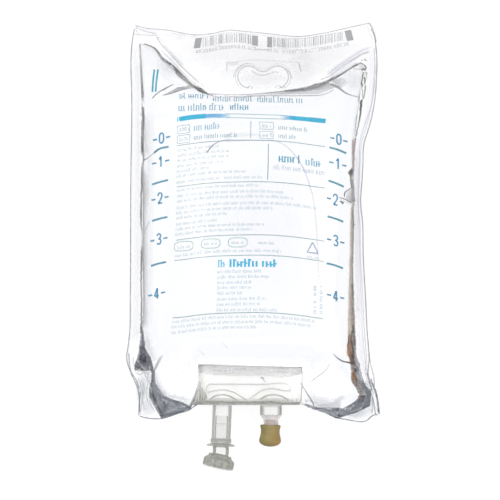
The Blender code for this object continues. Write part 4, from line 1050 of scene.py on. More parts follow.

# lower right: a painted brown band where the light comes through, painted shade of the dark folds below it
# and the chain of facets, and small painted highlights
band(((334, 349.6, 354.6), (338, 348.4, 355.4), (345, 347.2, 355.8), (352, 347.2, 356), (357, 349, 356.6),
    (361, 349.6, 358), (365, 350.6, 360.4)), "9e765a 5c5654", seed=6)
band(((324, 352.8, 353.6), (332, 351.6, 354.2), (340, 350.6, 354.6), (350, 353, 355), (358, 351, 353.6),
    (364, 351.4, 355)), "62544c 5a5450", 0.75, seed=7)
patch(((346.8, 345), (349.6, 343), (350.4, 355), (346.6, 356.6)), "cea076 b28460 b28460 e2ba92",
    (0.6, 0.9, 0.9, 0.6), 6)
streaks(((350.6, 332), (350.4, 342), (351, 352), (352.6, 360)), (4, 5, 6, 5), 9,
    "806450 b28460 6e584a 58504c c49870", 0.5, 41, (0.25, 0.6))
line(((333.4, 354), (338, 358.4), (343, 361.4), (349, 362.6), (355, 365.4), (358.6, 367.6)),
    (0.9, 1.3, 1.5, 1.7, 1.4, 1.2), "aaaaac 78787c 706f70 64605e 6e6864 787676", 0.95)
band(((364.4, 350.8, 360), (370, 351.4, 360.4), (375, 351.2, 361.6), (379, 351.2, 362.8),
    (383, 352.6, 364.4), (387, 355.4, 367), (391, 357.6, 369.6), (395, 359.4, 370.2), (399, 358.4, 369.8),
    (402, 354.6, 369.8), (405, 350.4, 369.8), (406.8, 347.6, 368)), "928680 828892", seed=8)
band(((372, 351.4, 354), (377, 351.2, 355.6), (382, 352, 356.4), (386, 354.6, 358)), "aa7c5c 94705a", 0.85,
    seed=9)
streaks(((353.6, 366), (353.4, 373), (355, 380), (357.6, 386)), (3, 4, 5, 4), 14,
    "806450 b28460 685c54 be926e", 0.8, 42)
patch(((353.4, 368), (359.4, 368.4), (359, 371.6), (354, 372.4)), "565456", (0.7, 1, 0.9, 0.7), 5)
streaks(((357.6, 367), (358.4, 376), (361, 384), (364.4, 390)), (4, 6, 6, 6), 18,
    "686a6e a2a4a8 8c8e92 5a5a5e b4b6ba", 0.8, 43)
streaks(((359, 388), (362, 394), (365, 393), (369, 392)), (5, 6, 5, 4), 12, "c8cbd0 96999e 6e7178 acafb4",
    0.85, 44)
patch(((359.6, 396.6), (369.4, 394.6), (370, 401.6), (357, 403)), "60656e 4c525a 545a64 767c86",
    (0.8, 1, 1, 0.8), 8)
patch(((355.6, 402), (369.8, 401), (369.4, 406.6), (349.4, 410.4)), "808694 6c7380 707782 868d90", 1, 8)
patch(((349, 405.6), (369.4, 406.2), (357, 412.6), (337.4, 418)), "8a9092 747a84 7e8486 686e76", 0.95, 8)
line(((337.2, 417.4), (341.4, 410.6), (348.4, 406.2), (354.4, 402.4), (358.6, 397.6)),
    (1.6, 1.2, 1.2, 1, 0.8), "606672 80858e 70757e 7a7f88 969aa2", 0.9)
line(((370.2, 389), (370.4, 398), (369.8, 405.4), (354, 412.8), (337.4, 418)), 1, "686e7a", 0.85,
    curved=False)
band(((401, 338, 341), (404, 322, 341), (407.4, 306, 340)), "f0f1f6 d6d8dd", 0.55, seed=10)
band(((407.4, 307, 338.6), (409.6, 317, 345), (411.6, 322, 346), (413.6, 327.6, 348), (415.6, 331.6, 343),
    (417.8, 335.4, 338.6)), "b0b5be 868c96", 0.95, 0.5, 11)
streaks(((304, 404.6), (314, 408), (324, 410.6), (331, 412), (337, 416)), (2, 3, 4, 5, 3), 26,
    "6e737c 969aa2 60646e e2e4e8 828790", 0.85, 45)
line(((303, 404), (309, 406.8), (318, 409), (326, 412.4), (332, 415.4), (336.8, 418)),
    (1, 1.2, 1, 1.3, 1.2, 1.2), "969aa2 848891 8c919a 707682 747a86 5c626e", 0.9)
for points, width, grey in (
        (((365.2, 391.8), (366.2, 389.2)), 1.3, 240), (((362.4, 394.8), (365, 394.2)), 1.1, 214),
        (((352.6, 406.8), (354, 404.8)), 1.4, 206), (((350, 409.2), (351.4, 407.4)), 1.3, 218),
        (((330.2, 412.8), (331.8, 412)), 1.6, 248), (((339.4, 414.2), (341.8, 412.6)), 1.1, 192),
        (((334.6, 416.6), (336.8, 417.8)), 2, 66), (((338.4, 416.4), (340, 414.2)), 1.2, 76),
        (((361, 396), (366, 396.4), (369.8, 394.4)), 0.9, 78), (((358, 396.6), (360.6, 396)), 1.2, 96)):
    line(points, width, (grey, grey + 2, grey + 4), 0.9, curved=False)
streaks(((364, 381), (369, 388), (374, 396)), (3, 6, 4), 22, "c4c5c6 a8aaac e8e9ea", 0.7, 46, (0.1, 0.25))
patch(((331.4, 408.6), (339.4, 408.4), (339, 411.6), (333, 411.6)), "686d76", (0.5, 0.9, 0.8, 0.6), 4)
line(((300.6, 383), (304.4, 388.8), (307.6, 394.4), (311, 399.4), (314, 405.6)), (0.9, 1.2, 1.2, 1.3, 1.3),
    "c4c6cb a0a2a8 a0a4aa 8e9299 82868f", 0.85)
line(((330.2, 362.8), (328.4, 366.6), (324.8, 371), (317, 377), (310.6, 382)), 0.9, "bec0c6", 0.8, fade=3)
line(((345.4, 396), (340, 398.6), (334, 402)), 3.4, "d8dbe1", 0.7, fade=2.5, soft=0.8)
line(((305, 398), (307, 403)), 1.2, "a8acb4", 0.7, fade=1)
finishDrawing(shade, "foldShading", foldMaterial, 0.09 * mm)
print("folds")

# Air bubble: painted shade along the thin line where the level liquid meets the film, and faint painted shade
# above its top
bubble = newDrawing()
line = partial(addLine, bubble)
line(((206.6, 153), (209.4, 149), (213.6, 144.6), (219.6, 141.4), (240, 140.2), (262, 140.4), (277, 141.4),
    (286, 146), (293.8, 153.8), (302.6, 167), (309.6, 185), (313.4, 199), (315.6, 216), (317.2, 237),
    (319, 272), (321, 286), (321.6, 300)), (0.9, 1.3, 1.2, 1, 1, 1, 1, 1, 1.1, 1.2, 1.2, 1.1, 1.3, 1.3,
    1.6, 1.6, 1.6), "6e7084 686a80 8c8aa8 a09cbe a0aac4 a0aac4 aaa8be beb2c4 baaac0 968cbe beb6cc c4bed2 "
    "c8c4d4 d0ccd8 dedae2 e8e6ec f4f2f6", (0.8, 0.9, 0.8, 0.7, 0.6, 0.6, 0.6, 0.5, 0.55, 0.55, 0.5, 0.45,
    0.4, 0.4, 0.35, 0.25, 0.1))
line(((222, 138), (236, 135.4), (252, 135), (264, 136.6)), 3, "ced6d6", (0.3, 0.4, 0.4, 0.3), fade=5,
    soft=0.9)
finishDrawing(bubble, "bubbleRimShade", foldMaterial, 0.04 * mm)


# Print: plain bars, rules, rows of small stems and dashes, and the two volume scales

ink = {
    "bright": "1ab2da", "digit": "228ab2", "tick": "1c8aa4", "title": "549eba",
    "rule": "809ea2", "small": "709caa", "bars": "a8a9ab", "deep": "2692b0", "deepFaint": "349ab8",
    "lilac": "96a6be", "heavy": "18acd2", "light": "6ea2b6", "upright": "7898ac",
}
# rows bend down towards both ends
arch = curveThrough(((176, 5.4), (209, 1.4), (240, 0.2), (262, 0), (290, 1.7), (326, 6.6)))


def archLine(left, right, level, count=14):
    # pixels along a row: its level and the arch's drop
    u = np.linspace(left, right, count)
    return np.column_stack((u, level + arch(u)))


def archBlocks(drawing, left, right, top, bottom, colour, strength, bend):
    # blocks that follow the arch of their row: each box's right side takes the row's rise
    left, right, top, bottom = np.broadcast_arrays(left, right, top, bottom)
    drop = arch(left) * bend
    rise = drop - arch(right) * bend
    addBlocks(drawing, np.column_stack((left, top + drop, right, bottom + drop, rise)), colour, strength)


def greekRow(drawing, left, right, level, tall, draw, colour, strength, stem, tight, bend):
    # a row of stems and short dashes at three heights, in groups
    u = left
    boxes = []
    while u < right:
        for _ in range(int(draw.integers(3, 9))):
            if u > right:
                break
            low = level + tall / 2
            rise = tall * draw.choice((0.72, 0.72, 0.72, 1.0))
            boxes.append((u, low - rise, u + stem, low))
            if draw.random() < 0.72:
                where = low - rise * draw.choice((0.1, 0.55, 0.95))
                boxes.append((u + stem, where, u + stem + 0.7 * tight, where + stem * 0.75))
            u += stem + draw.uniform(0.65, 1.05) * tight
        u += 1.5 * tight
    left, top, right, bottom = np.array(boxes).T
    archBlocks(drawing, left, right, top, bottom, colour, strength, bend)


rules = newDrawing()
line = partial(addLine, rules)
for left, right, level, width in (
        (177, 325, 140.3, 0.85), (177, 324.5, 181.7, 0.85), (176, 324, 234.8, 0.85),
        (174.5, 324, 255.2, 0.85), (172.5, 323, 312.6, 1)):
    line(archLine(left, right, level), width, ink["rule"], 0.85)
for points, colour in (
        (((251, 121), (250.8, 130), (250.6, 138.6)), "a0b0d6"),
        (((268.4, 143.6), (268.2, 162), (267.6, 179.6)), "809ea2")):
    line(points, 1, colour, 0.85)
# the arched title bar: full colour at both ends, only its outline in the middle
barPath = curveThrough(((177, 119.6), (190, 117.4), (206, 116), (231, 115.8), (262, 116.6), (285, 117.4),
    (300, 118.6), (313, 119.8), (325.7, 121.1)))


def barLine(left, right, lift=0.0, count=6):
    # pixels along the title bar, moved down by the lift
    u = np.linspace(left, right, count)
    return np.column_stack((u, barPath(u) + lift))


line(barLine(179, 206), 4.6, ink["bright"], 1, soft=0.08)
line(barLine(206, 231), 4, "70b2e0 70b2e0 70b2e0 70b2e0 96c8e8 cee6f0",
    (1, 1, 0.95, 0.9, 0.7, 0.3), soft=0.12)
line(barLine(280, 309), 4.2, "bedeec 70aade 28aad0 24b2d6 24b2d6 2cb6d8",
    (0.1, 0.7, 1, 1, 1, 1), soft=0.1)
line(barLine(309, 325.7), 4.6, "2cacce", 1, soft=0.08)
line(barLine(176.9, 178.3), 4.2, ink["bright"], 0.7, soft=0.2)
for lift in (-1.9, 1.9):
    line(barLine(226, 286, lift, 10), 0.75, (120, 178, 190), 0.85)
for left, right, level, tall in ((177.2, 189.6, 124.9, 8), (177.2, 189.8, 134.6, 7.8),
                                 (259.8, 273.6, 125.6, 7), (259.8, 273.2, 134.8, 7.2)):
    # a tick box, sheared to follow the arch
    middle = (left + right) / 2
    across, down = np.array(((-1, -1), (1, -1), (1, 1), (-1, 1), (-1, -1))).T / 2
    u = middle + across * (right - left)
    v = level + down * tall + arch(middle) + across * (arch(right) - arch(left))
    line(np.column_stack((u, v)), 0.7, "84a0aa", 0.75, curved=False)
pill = {"wide": 9.4, "tall": 4.6, "power": 0.6, "rise": 0.11, "level": 248, "run": 65, "steps": 41}
turn = np.linspace(0, 2 * np.pi, pill["steps"])
for middleU, middleV in ((183.6, 246.2), (210.6, 243.6), (237.8, 242.4)):
    # a rounded pill: the circle's cosine and sine to the power, sheared by its distance from the level pixel
    cosine, sine = (np.sign(q) * np.abs(q) ** pill["power"] for q in (np.cos(turn), np.sin(turn)))
    shear = pill["rise"] * pill["wide"] * np.cos(turn) * (pill["level"] - middleU) / pill["run"]
    ring = np.column_stack((middleU + pill["wide"] * cosine, middleV + pill["tall"] * sine - shear))
    line(ring, 0.75, "6ea89c", 0.8, curved=False)
line(((312.6, 242.4), (318.2, 253.4), (307.2, 252.4), (312.6, 242.4)), 1.1, "688cb2", 0.85, curved=False)
line(((154.4, 69.4), (153.2, 80), (152.4, 92.1)), 1.7, "26a0b8", 1)
line(((158, 69.4), (156.6, 80), (155.6, 91.7)), 1.7, "26a0b8", 1)
finishDrawing(rules, "printedRules", inkMaterial)

rows = newDrawing()
draw = np.random.default_rng(23)
printRows = (
    # height, colour, strength, stem, spacing and bend, then each row's left, right and level
    (6, "title", 0.85, 0.95, 1.6, 0, ((179.5, 208, 95.4),)),
    (5.8, "title", 0.85, 0.95, 1.6, 0, ((213, 251.5, 98.4),)),
    (6.2, "title", 0.9, 0.95, 1.6, 0.35, ((257.4, 301.5, 99),)),
    (7.2, "title", 0.9, 1, 1.6, 0.2, ((178.5, 224, 106.4),)),
    (6.6, "title", 0.95, 1.1, 1.7, 0, ((230, 251, 106.6),)),
    (6.8, "title", 0.85, 0.9, 1.5, 1, ((194, 219, 124.6),)),
    (4.6, "small", 0.8, 0.75, 1.2, 1, ((194, 236, 134.4), (278.5, 306, 126.2))),
    (4.4, "small", 0.8, 0.75, 1.2, 1, ((278.5, 295.5, 134.8),)),
    (3.8, "small", 0.6, 0.6, 0.9, 1, ((179, 188.5, 124.9), (179, 188.5, 134.6), (262, 271.5, 125.6),
                                     (262, 271.5, 134.8))),
    (8.2, "deep", 0.95, 1.4, 1.7, 1, ((278.6, 299.6, 156.8),)),
    (7.6, "deepFaint", 0.9, 1.1, 1.7, 1, ((305.6, 320, 157.5),)),
    (5.2, "lilac", 0.7, 0.6, 1.2, 1, ((273.6, 324, 166.4),)),
    (3.3, "small", 0.56, 0.45, 0.85, 1, (
        (177, 219, 144.9), (177, 229, 150.3), (177, 229, 155.3), (177, 223, 160.9), (176.6, 209, 166),
        (176.5, 245, 170.9), (176.5, 219, 177), (224, 262, 176.9), (177, 258, 185), (177, 283, 191),
        (177, 293, 196), (176.5, 317.6, 202.6), (176, 272, 207.7), (176, 228, 212.8), (176, 216, 219),
        (175.6, 264, 224), (175, 252, 229), (177.5, 190, 242.4), (204, 217, 242.2), (231, 245, 242.2),
        (258, 274, 242.6), (174.6, 281, 250.3), (307, 318, 252.6), (172.4, 315, 316.2),
        (171.6, 311, 321.4), (171.2, 257, 326.8))),
    (7.6, "bright", 0.8, 1.4, 1.3, 1, ((218, 223.5, 262.8),)),
    (8, "heavy", 0.95, 2.1, 2, 1, ((229.5, 275, 262.8),)),
    (3.5, "light", 0.6, 0.48, 0.9, 1, (
        (217.4, 261, 270.9), (217.2, 269.4, 276.2), (217.4, 250.4, 281.8), (217.2, 250.8, 286.9),
        (217, 241.5, 292.4), (216.8, 265.5, 298.2), (216.6, 260, 303.6), (216.6, 277.5, 309.2))),
)
for tall, colour, strength, stem, tight, bend, places in printRows:
    for left, right, level in places:
        greekRow(rows, left, right, level, tall, draw, ink[colour], strength, stem, tight, bend)
upright = [(u, v, u + 3, v + 0.55, 0) for u in (313.4, 319.6) for v in np.arange(286, 314, 1.5)
           if draw.random() < 0.78]
addBlocks(rows, upright, ink["upright"], 0.85)
finishDrawing(rows, "printedRows", inkMaterial)

# header codes: seeded stripes between end blocks, following the top edge
codes = newDrawing()


def stripes(top, ends, blocks):
    # end blocks, then upright stripes of chosen widths and gaps, and below them a row of small open boxes
    path = curveThrough(top)
    for left, right, slant in blocks:
        corners = ((left, path(left)), (right, path(right)), (right + slant, path(right) + 10.2),
                   (left + slant, path(left) + 10.2))
        addPatch(codes, corners, "9e9ea0", 0.95, 3)
    u = ends[0]
    while u < ends[1]:
        wide = draw.choice((0.55, 0.55, 0.9, 1.3))
        addBlocks(codes, (u, path(u), u + wide, path(u) + 9.2, 0), ink["bars"], draw.uniform(0.55, 1))
        u += wide + draw.choice((0.55, 0.8, 1.1, 1.6))
    for start in np.arange(ends[0] - 7, ends[1] + 5, 3.2):
        for off, high, low, wide in ((0, 11.8, 15, 0.65), (1.5, 11.8, 15, 0.65), (0.3, 11.8, 12.4, 1.5),
                                     (0.3, 14.4, 15, 1.5)):
            if draw.random() < 0.68:
                u, v = start + off, path(start)
                addBlocks(codes, (u, v + high, u + wide, v + low, 0), "a4a4a8", 0.55)


stripes(((194, 38.4), (203, 37.6), (222, 34.2), (240, 33.4), (251, 35), (262, 36.6)), (203, 250.6),
    ((195.5, 202, -1.9), (252, 258, -0.2)))
stripes(((264, 36.6), (272, 37.2), (285, 38.4), (302, 38), (320, 35.4), (342, 31.4), (352, 29.6)),
    (273.4, 343), ((267.3, 272.2, -0.2), (344.4, 351, 2.6)))
finishDrawing(codes, "headerCodes", inkMaterial)

# volume scales: strokes of the figures 0 to 4 in a unit box, with a dash on each side
figures = (
    (((0.5, 0), (0.82, 0.12), (0.94, 0.5), (0.82, 0.88), (0.5, 1), (0.18, 0.88), (0.06, 0.5), (0.18, 0.12),
      (0.5, 0)),),
    (((0.16, 0.26), (0.4, 0.16), (0.58, 0)), ((0.58, 0), (0.58, 0.5), (0.58, 1))),
    (((0.06, 0.26), (0.18, 0.07), (0.5, 0), (0.84, 0.1), (0.92, 0.3), (0.76, 0.54), (0.34, 0.84),
      (0.06, 1)), ((0.06, 1), (0.5, 1), (0.96, 1))),
    (((0.08, 0.16), (0.4, 0), (0.8, 0.08), (0.88, 0.26), (0.72, 0.43), (0.4, 0.48)),
     ((0.4, 0.48), (0.76, 0.54), (0.94, 0.74), (0.8, 0.93), (0.45, 1), (0.06, 0.87))),
    (((0.66, 1), (0.66, 0.5), (0.66, 0)), ((0.66, 0), (0.34, 0.36), (0.02, 0.72)),
     ((0.02, 0.72), (0.5, 0.72), (1, 0.72))),
)
scaleRows = {
    "tall": 10.4, "wide": 4.5, "stroke": 1.6, "dash": 4.3, "reach": 6.5,
    "left": ((161.5, 138), (160.6, 161.6), (160, 198), (158.9, 239), (156.6, 293.6)),
    "right": ((338.9, 139.2), (337.8, 163.6), (335.4, 199.6), (335.7, 240.6), (335.6, 296)),
    "ticks": (((154, 153), (158.4, 149.4), (168.7, 146.6)), ((152, 184.5), (160, 182), (168, 180)),
              ((152, 221), (160, 218.6), (167.4, 216.8)), ((151, 266), (158.5, 263.6), (166, 262)),
              ((329.3, 147.3), (338, 149.8), (346.3, 153.3)), ((328.4, 180.6), (336, 183.2), (343.8, 186.8)),
              ((327.4, 216.4), (335.2, 218.6), (343.2, 221.8)),
              ((326.6, 263.2), (334.6, 265.2), (343, 268.4))),
}
scales = newDrawing()
line = partial(addLine, scales)
for places, slant in ((scaleRows["left"], -0.22), (scaleRows["right"], 0.24)):
    for strokes, (middleU, middleV) in zip(figures, places):
        for stroke in strokes:
            unit = np.array(stroke) - 0.5
            u = unit[:, 0] * scaleRows["wide"]
            flat = np.column_stack((middleU + u, middleV + unit[:, 1] * scaleRows["tall"] + u * slant))
            line(flat, scaleRows["stroke"], ink["digit"], 0.95, curved=len(stroke) > 3)
        for side in (-1, 1):
            near = np.array(((-0.5, 0), (0.5, 0))) * scaleRows["dash"] + (side * scaleRows["reach"], 0)
            near[:, 1] = near[:, 0] * slant + 0.4
            line(near + (middleU, middleV), scaleRows["stroke"], ink["digit"], 0.95, curved=False)
for tick in scaleRows["ticks"]:
    line(tick, 1.9, ink["tick"], 0.95)
finishDrawing(scales, "volumeScales", inkMaterial)
print("print")


# Ports: profiles of (radius, height) with rounded corners, turned about each port's axis

ports = {
    # places across the bag and leans, then what all share, in mm but for the count of steps
    "set": (-14.9, math.radians(2.3)), "injection": (10.4, 0), "stopper": (10.4, math.radians(1.5)),
    "height": 11.5, "socket": 10, "steps": 96,
}


def rounded(profile, radii):
    # each corner becomes five points of the quadratic curve between its two sides
    profile = np.array(profile, dtype=float) * mm
    radii = np.broadcast_to(np.array(radii, dtype=float) * mm, len(profile))
    points = []
    t = np.linspace(0, 1, 5)[:, None]
    for k, corner in enumerate(profile):
        before, after = profile[k - 1], profile[(k + 1) % len(profile)]
        if radii[k] == 0 or corner[0] == 0:
            points.append(corner[None])
            continue
        toBefore, toAfter = before - corner, after - corner
        cutBefore = min(radii[k], np.linalg.norm(toBefore) * 0.45) / np.linalg.norm(toBefore)
        cutAfter = min(radii[k], np.linalg.norm(toAfter) * 0.45) / np.linalg.norm(toAfter)
        start, end = corner + toBefore * cutBefore, corner + toAfter * cutAfter
        points.append((1 - t) ** 2 * start + 2 * t * (1 - t) * corner + t * t * end)
    return np.concatenate(points)


def divided(profile, longest):
    # straight runs cut into steps no longer than the given length
    points = [profile[:1]]
    for start, end in zip(profile, profile[1:]):
        count = max(1, int(np.ceil(np.linalg.norm(end - start) / longest)))
        points.append(start + (end - start) * (np.arange(1, count + 1) / count)[:, None])
    return np.concatenate(points)


def turnedPoints(profile, steps):
    # the profile's radius and height, at even steps of a full turn
    turn = np.linspace(0, 2 * np.pi, steps, endpoint=False)
    radius, height = profile[:, None, 0], profile[:, None, 1]
    return np.stack((radius * np.cos(turn), radius * np.sin(turn), height + 0 * turn), axis=-1)


def turnedFaces(count, steps, closed):
    # closed profiles join their last ring to the first, open ones end on the axis at both ends
    rings = np.arange(count if closed else count - 1)[:, None] * steps
    here = np.arange(steps)[None, :]
    after = (here + 1) % steps
    above = (rings + steps) % (count * steps)
    return np.stack((rings + here, above + here, above + after, rings + after), axis=-1).reshape(-1, 4)


def onPort(points, x, lean):
    # local height runs up into the block, along the bag, turned outwards by the lean
    across, up, height = points[..., 0], points[..., 1], points[..., 2]
    return np.stack((x * mm + across * math.cos(lean) + height * math.sin(lean),
                     plan["portFace"] - across * math.sin(lean) + height * math.cos(lean),
                     ports["height"] * mm + up), axis=-1)


def turnedPiece(name, profile, material, node, tints, port, body="bag", closed=True, shape=None,
                longest=0.6):
    # the profile, its sides no longer than longest mm, is turned, painted by radius and height, bent by the
    # shape if there is one, and set on its port
    profile = divided(profile, longest * mm)
    points = turnedPoints(profile, ports["steps"])
    looks = tints(np.hypot(points[..., 0], points[..., 1]) / mm, points[..., 2] / mm)
    if shape:
        points = shape(points)
    placed = onPort(points, *ports[port])
    item = meshFrom(name, placed, turnedFaces(len(profile), ports["steps"], closed))
    paint(item, "tint", looks[0])
    paint(item, "look", looks[1])
    mesh = bmesh.new()
    mesh.from_mesh(item.data)
    bmesh.ops.remove_doubles(mesh, verts=mesh.verts, dist=0.001 * mm)
    bmesh.ops.dissolve_degenerate(mesh, edges=mesh.edges, dist=0.001 * mm)
    bmesh.ops.recalc_face_normals(mesh, faces=mesh.faces)
    mesh.to_mesh(item.data)
    mesh.free()
    item.data.materials.append(material)
    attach(item, body)
    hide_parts(node)


def tinted(bands):
    # looks by radius and height: each row is the least radius, the least and most height, the colour, the
    # milk, a slanted wall's strength, the slant where it starts and over how much; it covers those before
    def looks(radius, height):
        tint = np.ones(radius.shape + (4,))
        look = np.ones(radius.shape + (4,))
        for least, low, high, colour, *kind in bands:
            share = smoothStep((height - low) / 0.25) * smoothStep((high - height) / 0.25)
            share = (share * (radius >= least))[..., None]
            tint[..., :3] += (tone(colour) - tint[..., :3]) * share
            look += (np.array(kind if len(kind) > 3 else (*kind, 0.16)) - look) * share
        return tint, look

    return looks


def clearPlastic(name, roughness, grain, least=0.86):
    # clear plastic: as strong as its own milk, and greyer where a wall is seen at a slant
    made, add = newMaterial(name)
    tint, look = add("Attribute", attribute_name="tint"), add("Attribute", attribute_name="look")
    parts = add("SeparateColor", {0: look}).outputs
    cloud = spanNode(add, cloudNoise(add, grain, 3), 0.35, 0.65, least, 1.06)
    slant = add("LayerWeight", {"Blend": 0.5}).outputs["Facing"]
    full = add("Math", {0: parts["Blue"], 1: look.outputs["Alpha"]})
    rise = spanNode(add, slant, parts["Blue"], full, 0, 1, interpolation_type="SMOOTHSTEP")
    milk = add("Math", {0: parts["Red"], 1: cloud}, operation="MULTIPLY")
    edge = add("Math", {0: parts["Green"], 1: rise}, operation="MULTIPLY")
    most = add("Math", {0: milk, 1: edge}, operation="MAXIMUM")
    plastic = add("BsdfPrincipled", {"Roughness": roughness, "Specular IOR Level": 0.4, "Base Color": tint,
                                     "Alpha": most})
    add("OutputMaterial", {0: plastic})
    return made


def twoColours(add, value, least, first, most, last):
    # a value turned to a colour: the first up to least, the last from most
    ramp = add("ValToRGB", {0: value})
    for stop, place, colour in zip(ramp.color_ramp.elements, (least, most), (first, last)):
        stop.position = place
        stop.color = (*tone(colour)[0], 1)
    return ramp


def mouldedMaterial():
    # milky moulded plastic, its whiteness varied a little by a soft noise
    made, add = newMaterial("blockPlastic")
    white = twoColours(add, cloudNoise(add, 90), 0.35, "f7f6f4", 0.65, "fcfbfa")
    add("OutputMaterial", {0: add("BsdfPrincipled", {"Roughness": 0.32, "Base Color": white})})
    return made


tubeMaterial = clearPlastic("tubePlastic", 0.16, 300)
capMaterial = clearPlastic("capPlastic", 0.2, 600, 0.6)
blockMaterial = mouldedMaterial()

setTube = {"radius": 5.0, "bore": 3.5, "length": 19.9, "bead": 5.4, "beadLength": 2.0}
end = -setTube["length"]
socket = ports["socket"]
profile = rounded(((setTube["radius"], socket), (setTube["radius"], end + setTube["beadLength"] + 0.3),
    (setTube["bead"], end + setTube["beadLength"]), (setTube["bead"], end), (setTube["bore"], end),
    (setTube["bore"], socket)), (0.3, 0.3, 0.3, 0.35, 0.15, 0.15))
looks = tinted((
    (0, -30, 20, "e4e6e4", 0.05, 0.5, 0.5), (4, -30, 20, "c2c3be", 0.04, 0.8, 0.22),
    (4, -1.2, 20, "d0d0d6", 0.2, 0.8, 0.2), (4, end, end + 2.1, "bebfba", 0.6, 0.85, 0.2),
    (4, end + 1.3, end + 1.95, "a0a19d", 0.85, 1, 0.2)))
turnedPiece("setTube", profile, tubeMaterial, "set_port_tube", looks, "set")

sleeve = {"outer": 3.2, "inner": 2.8, "top": -5.8, "length": 11.4, "webDepth": 4.2, "web": 0.5}
web = sleeve["top"] - sleeve["webDepth"]
low = sleeve["top"] - sleeve["length"]
profile = rounded(((0, web), (sleeve["inner"], web), (sleeve["inner"], sleeve["top"]),
    (sleeve["outer"], sleeve["top"]), (sleeve["outer"], low), (sleeve["inner"], low),
    (sleeve["inner"], web - sleeve["web"]), (0, web - sleeve["web"])), 0.12)
looks = tinted((
    (0, -30, 20, "e8e8e0", 0.05, 0.2, 0.5), (3, -30, 20, "90928c", 0.02, 0.75, 0.44),
    (0, web - 0.6, web + 0.1, "dedfd8", 0.3, 0.5, 0.4)))
turnedPiece("setMembrane", profile, tubeMaterial, "set_port_membrane", looks, "set",
            closed=False)

cap = {
    "plug": 3.2, "plugLength": 2.3, "bore": 2.8, "flange": 7.4, "flangeThick": 0.5, "droop": 0.8, "neck": 4.2,
    "neckLength": 5.4, "grip": 8.1, "gripLength": 7.1, "top": 5.9, "topLength": 1.2, "scallops": 8,
    "scallopDepth": 0.9, "cant": math.radians(10), "clear": 0.3, "bendFrom": 1,
}


def capShape(points):
    # hollows of half a cosine round the grip, then a bend over the neck's length about the neck's end
    radius = np.hypot(points[..., 0], points[..., 1])
    seat = -(setTube["length"] + cap["clear"]) * mm
    start = seat - cap["flangeThick"] * mm
    low = points[..., 2] < start - cap["neckLength"] * mm
    share = np.clip((radius / mm - cap["neck"]) / (cap["grip"] - cap["neck"]), 0, 1) * low
    angle = np.arctan2(points[..., 1], points[..., 0])
    hollow = (0.5 - 0.5 * np.cos(cap["scallops"] * angle)) * cap["scallopDepth"] * mm * share
    scale = 1 - hollow / np.maximum(radius, 0.01 * mm)
    x, y, z = points[..., 0] * scale, points[..., 1] * scale, points[..., 2]
    begin, length = start - cap["bendFrom"] * mm, (cap["neckLength"] - cap["bendFrom"]) * mm
    turn = cap["cant"] * np.clip((begin - z) / length, 0, 1)
    middle = begin - length
    return np.stack((x * np.cos(turn) + (z - middle) * np.sin(turn), y,
                     middle - x * np.sin(turn) + (z - middle) * np.cos(turn)), axis=-1)


seat = -(setTube["length"] + cap["clear"])
flangeLow = seat - cap["flangeThick"]
gripHigh = flangeLow - cap["neckLength"]
gripLow = gripHigh - cap["gripLength"]
grip = cap["grip"]
profile = rounded(((0, gripHigh), (cap["bore"], gripHigh), (cap["bore"], seat + cap["plugLength"]),
    (cap["plug"], seat + cap["plugLength"]), (cap["plug"], seat), (setTube["bead"], seat),
    (cap["flange"], seat - cap["droop"]), (cap["flange"], seat - cap["droop"] - cap["flangeThick"]),
    (setTube["bead"], flangeLow), (cap["neck"], flangeLow), (cap["neck"], gripHigh),
    (cap["top"], gripHigh), (cap["top"] + 0.2, gripHigh - cap["topLength"]),
    (grip - 0.6, gripHigh - cap["topLength"] - 1.0), (grip, gripHigh - cap["topLength"] - 1.8),
    (grip, gripLow + 0.8), (grip - 0.5, gripLow), (grip * 0.7, gripLow), (grip * 0.62, gripLow + 1.2),
    (0, gripLow + 1.2)), (0, 0.2, 0.1, 0.15, 0.1, 0.5, 0.2, 0.2, 0.4, 0.4, 0.5, 0.4, 0.5, 0.5, 0.8, 0.5,
    0.5, 0.4, 0.4, 0))
# the grip's darker ring at its top is painted shade, and the pale ring at its bottom a painted highlight
looks = tinted((
    (0, -50, 20, "d6d7d2", 0.06, 0.5, 0.5), (3, seat, 0, "c2c4be", 0.3, 0.6, 0.4),
    (4, gripHigh, flangeLow - 0.4, "b0b2ab", 0.04, 0.85, 0.16),
    (2.5, flangeLow - 1.5, flangeLow + 0.3, "babcb6", 0.5, 0.85, 0.16),
    (5, flangeLow - 2, seat + 0.3, "bebfbb", 0.3, 0.8, 0.2),
    (4, gripLow - 1, gripHigh + 0.35, "a6a79e", 0.95, 1, 0.3),
    (5.2, gripHigh - 0.6, gripHigh + 0.3, "9ea096", 0.95, 1, 0.3),
    (4, gripLow - 1, gripLow + 0.8, "ececea", 0.95, 1, 0.3)))
turnedPiece("protectorCap", profile, capMaterial, "set_port_protector", looks, "set",
            body="protector", closed=False, shape=capShape)

injection = {"radius": 5.7, "wall": 1.4, "barrel": -5.3, "taper": -8.0, "neck": 3.8, "neckWall": 1.1,
             "rubber": -10.5, "end": -17.0}
wide, narrow = injection["radius"] - injection["wall"], injection["neck"] - injection["neckWall"]
profile = rounded(((injection["radius"], socket), (injection["radius"], injection["barrel"]),
    (injection["neck"], injection["taper"]), (injection["neck"], injection["end"]),
    (narrow, injection["end"]), (narrow, injection["taper"] + 0.3), (wide, injection["barrel"] + 0.3),
    (wide, socket)), (0.3, 0.9, 0.7, 0.3, 0.2, 0.5, 0.6, 0.3))
looks = tinted((
    (0, -30, 20, "e2e1de", 0.05, 0.35, 0.3, 0.6), (4.9, -30, 20, "aaa8a4", 0.03, 0.9, 0.06, 0.62),
    (4.9, -5.3, -4.8, "ded0ce", 0.3, 0.85, 0.1, 0.6), (3.3, -20, -5.4, "e2d5d3", 0.6, 0.85, 0.2, 0.6),
    (3.3, -8.2, -5.4, "f6eeef", 0.45, 0.6, 0.2, 0.6), (4.9, -1.4, 20, "c8c6c2", 0.35, 0.85, 0.1, 0.6)))
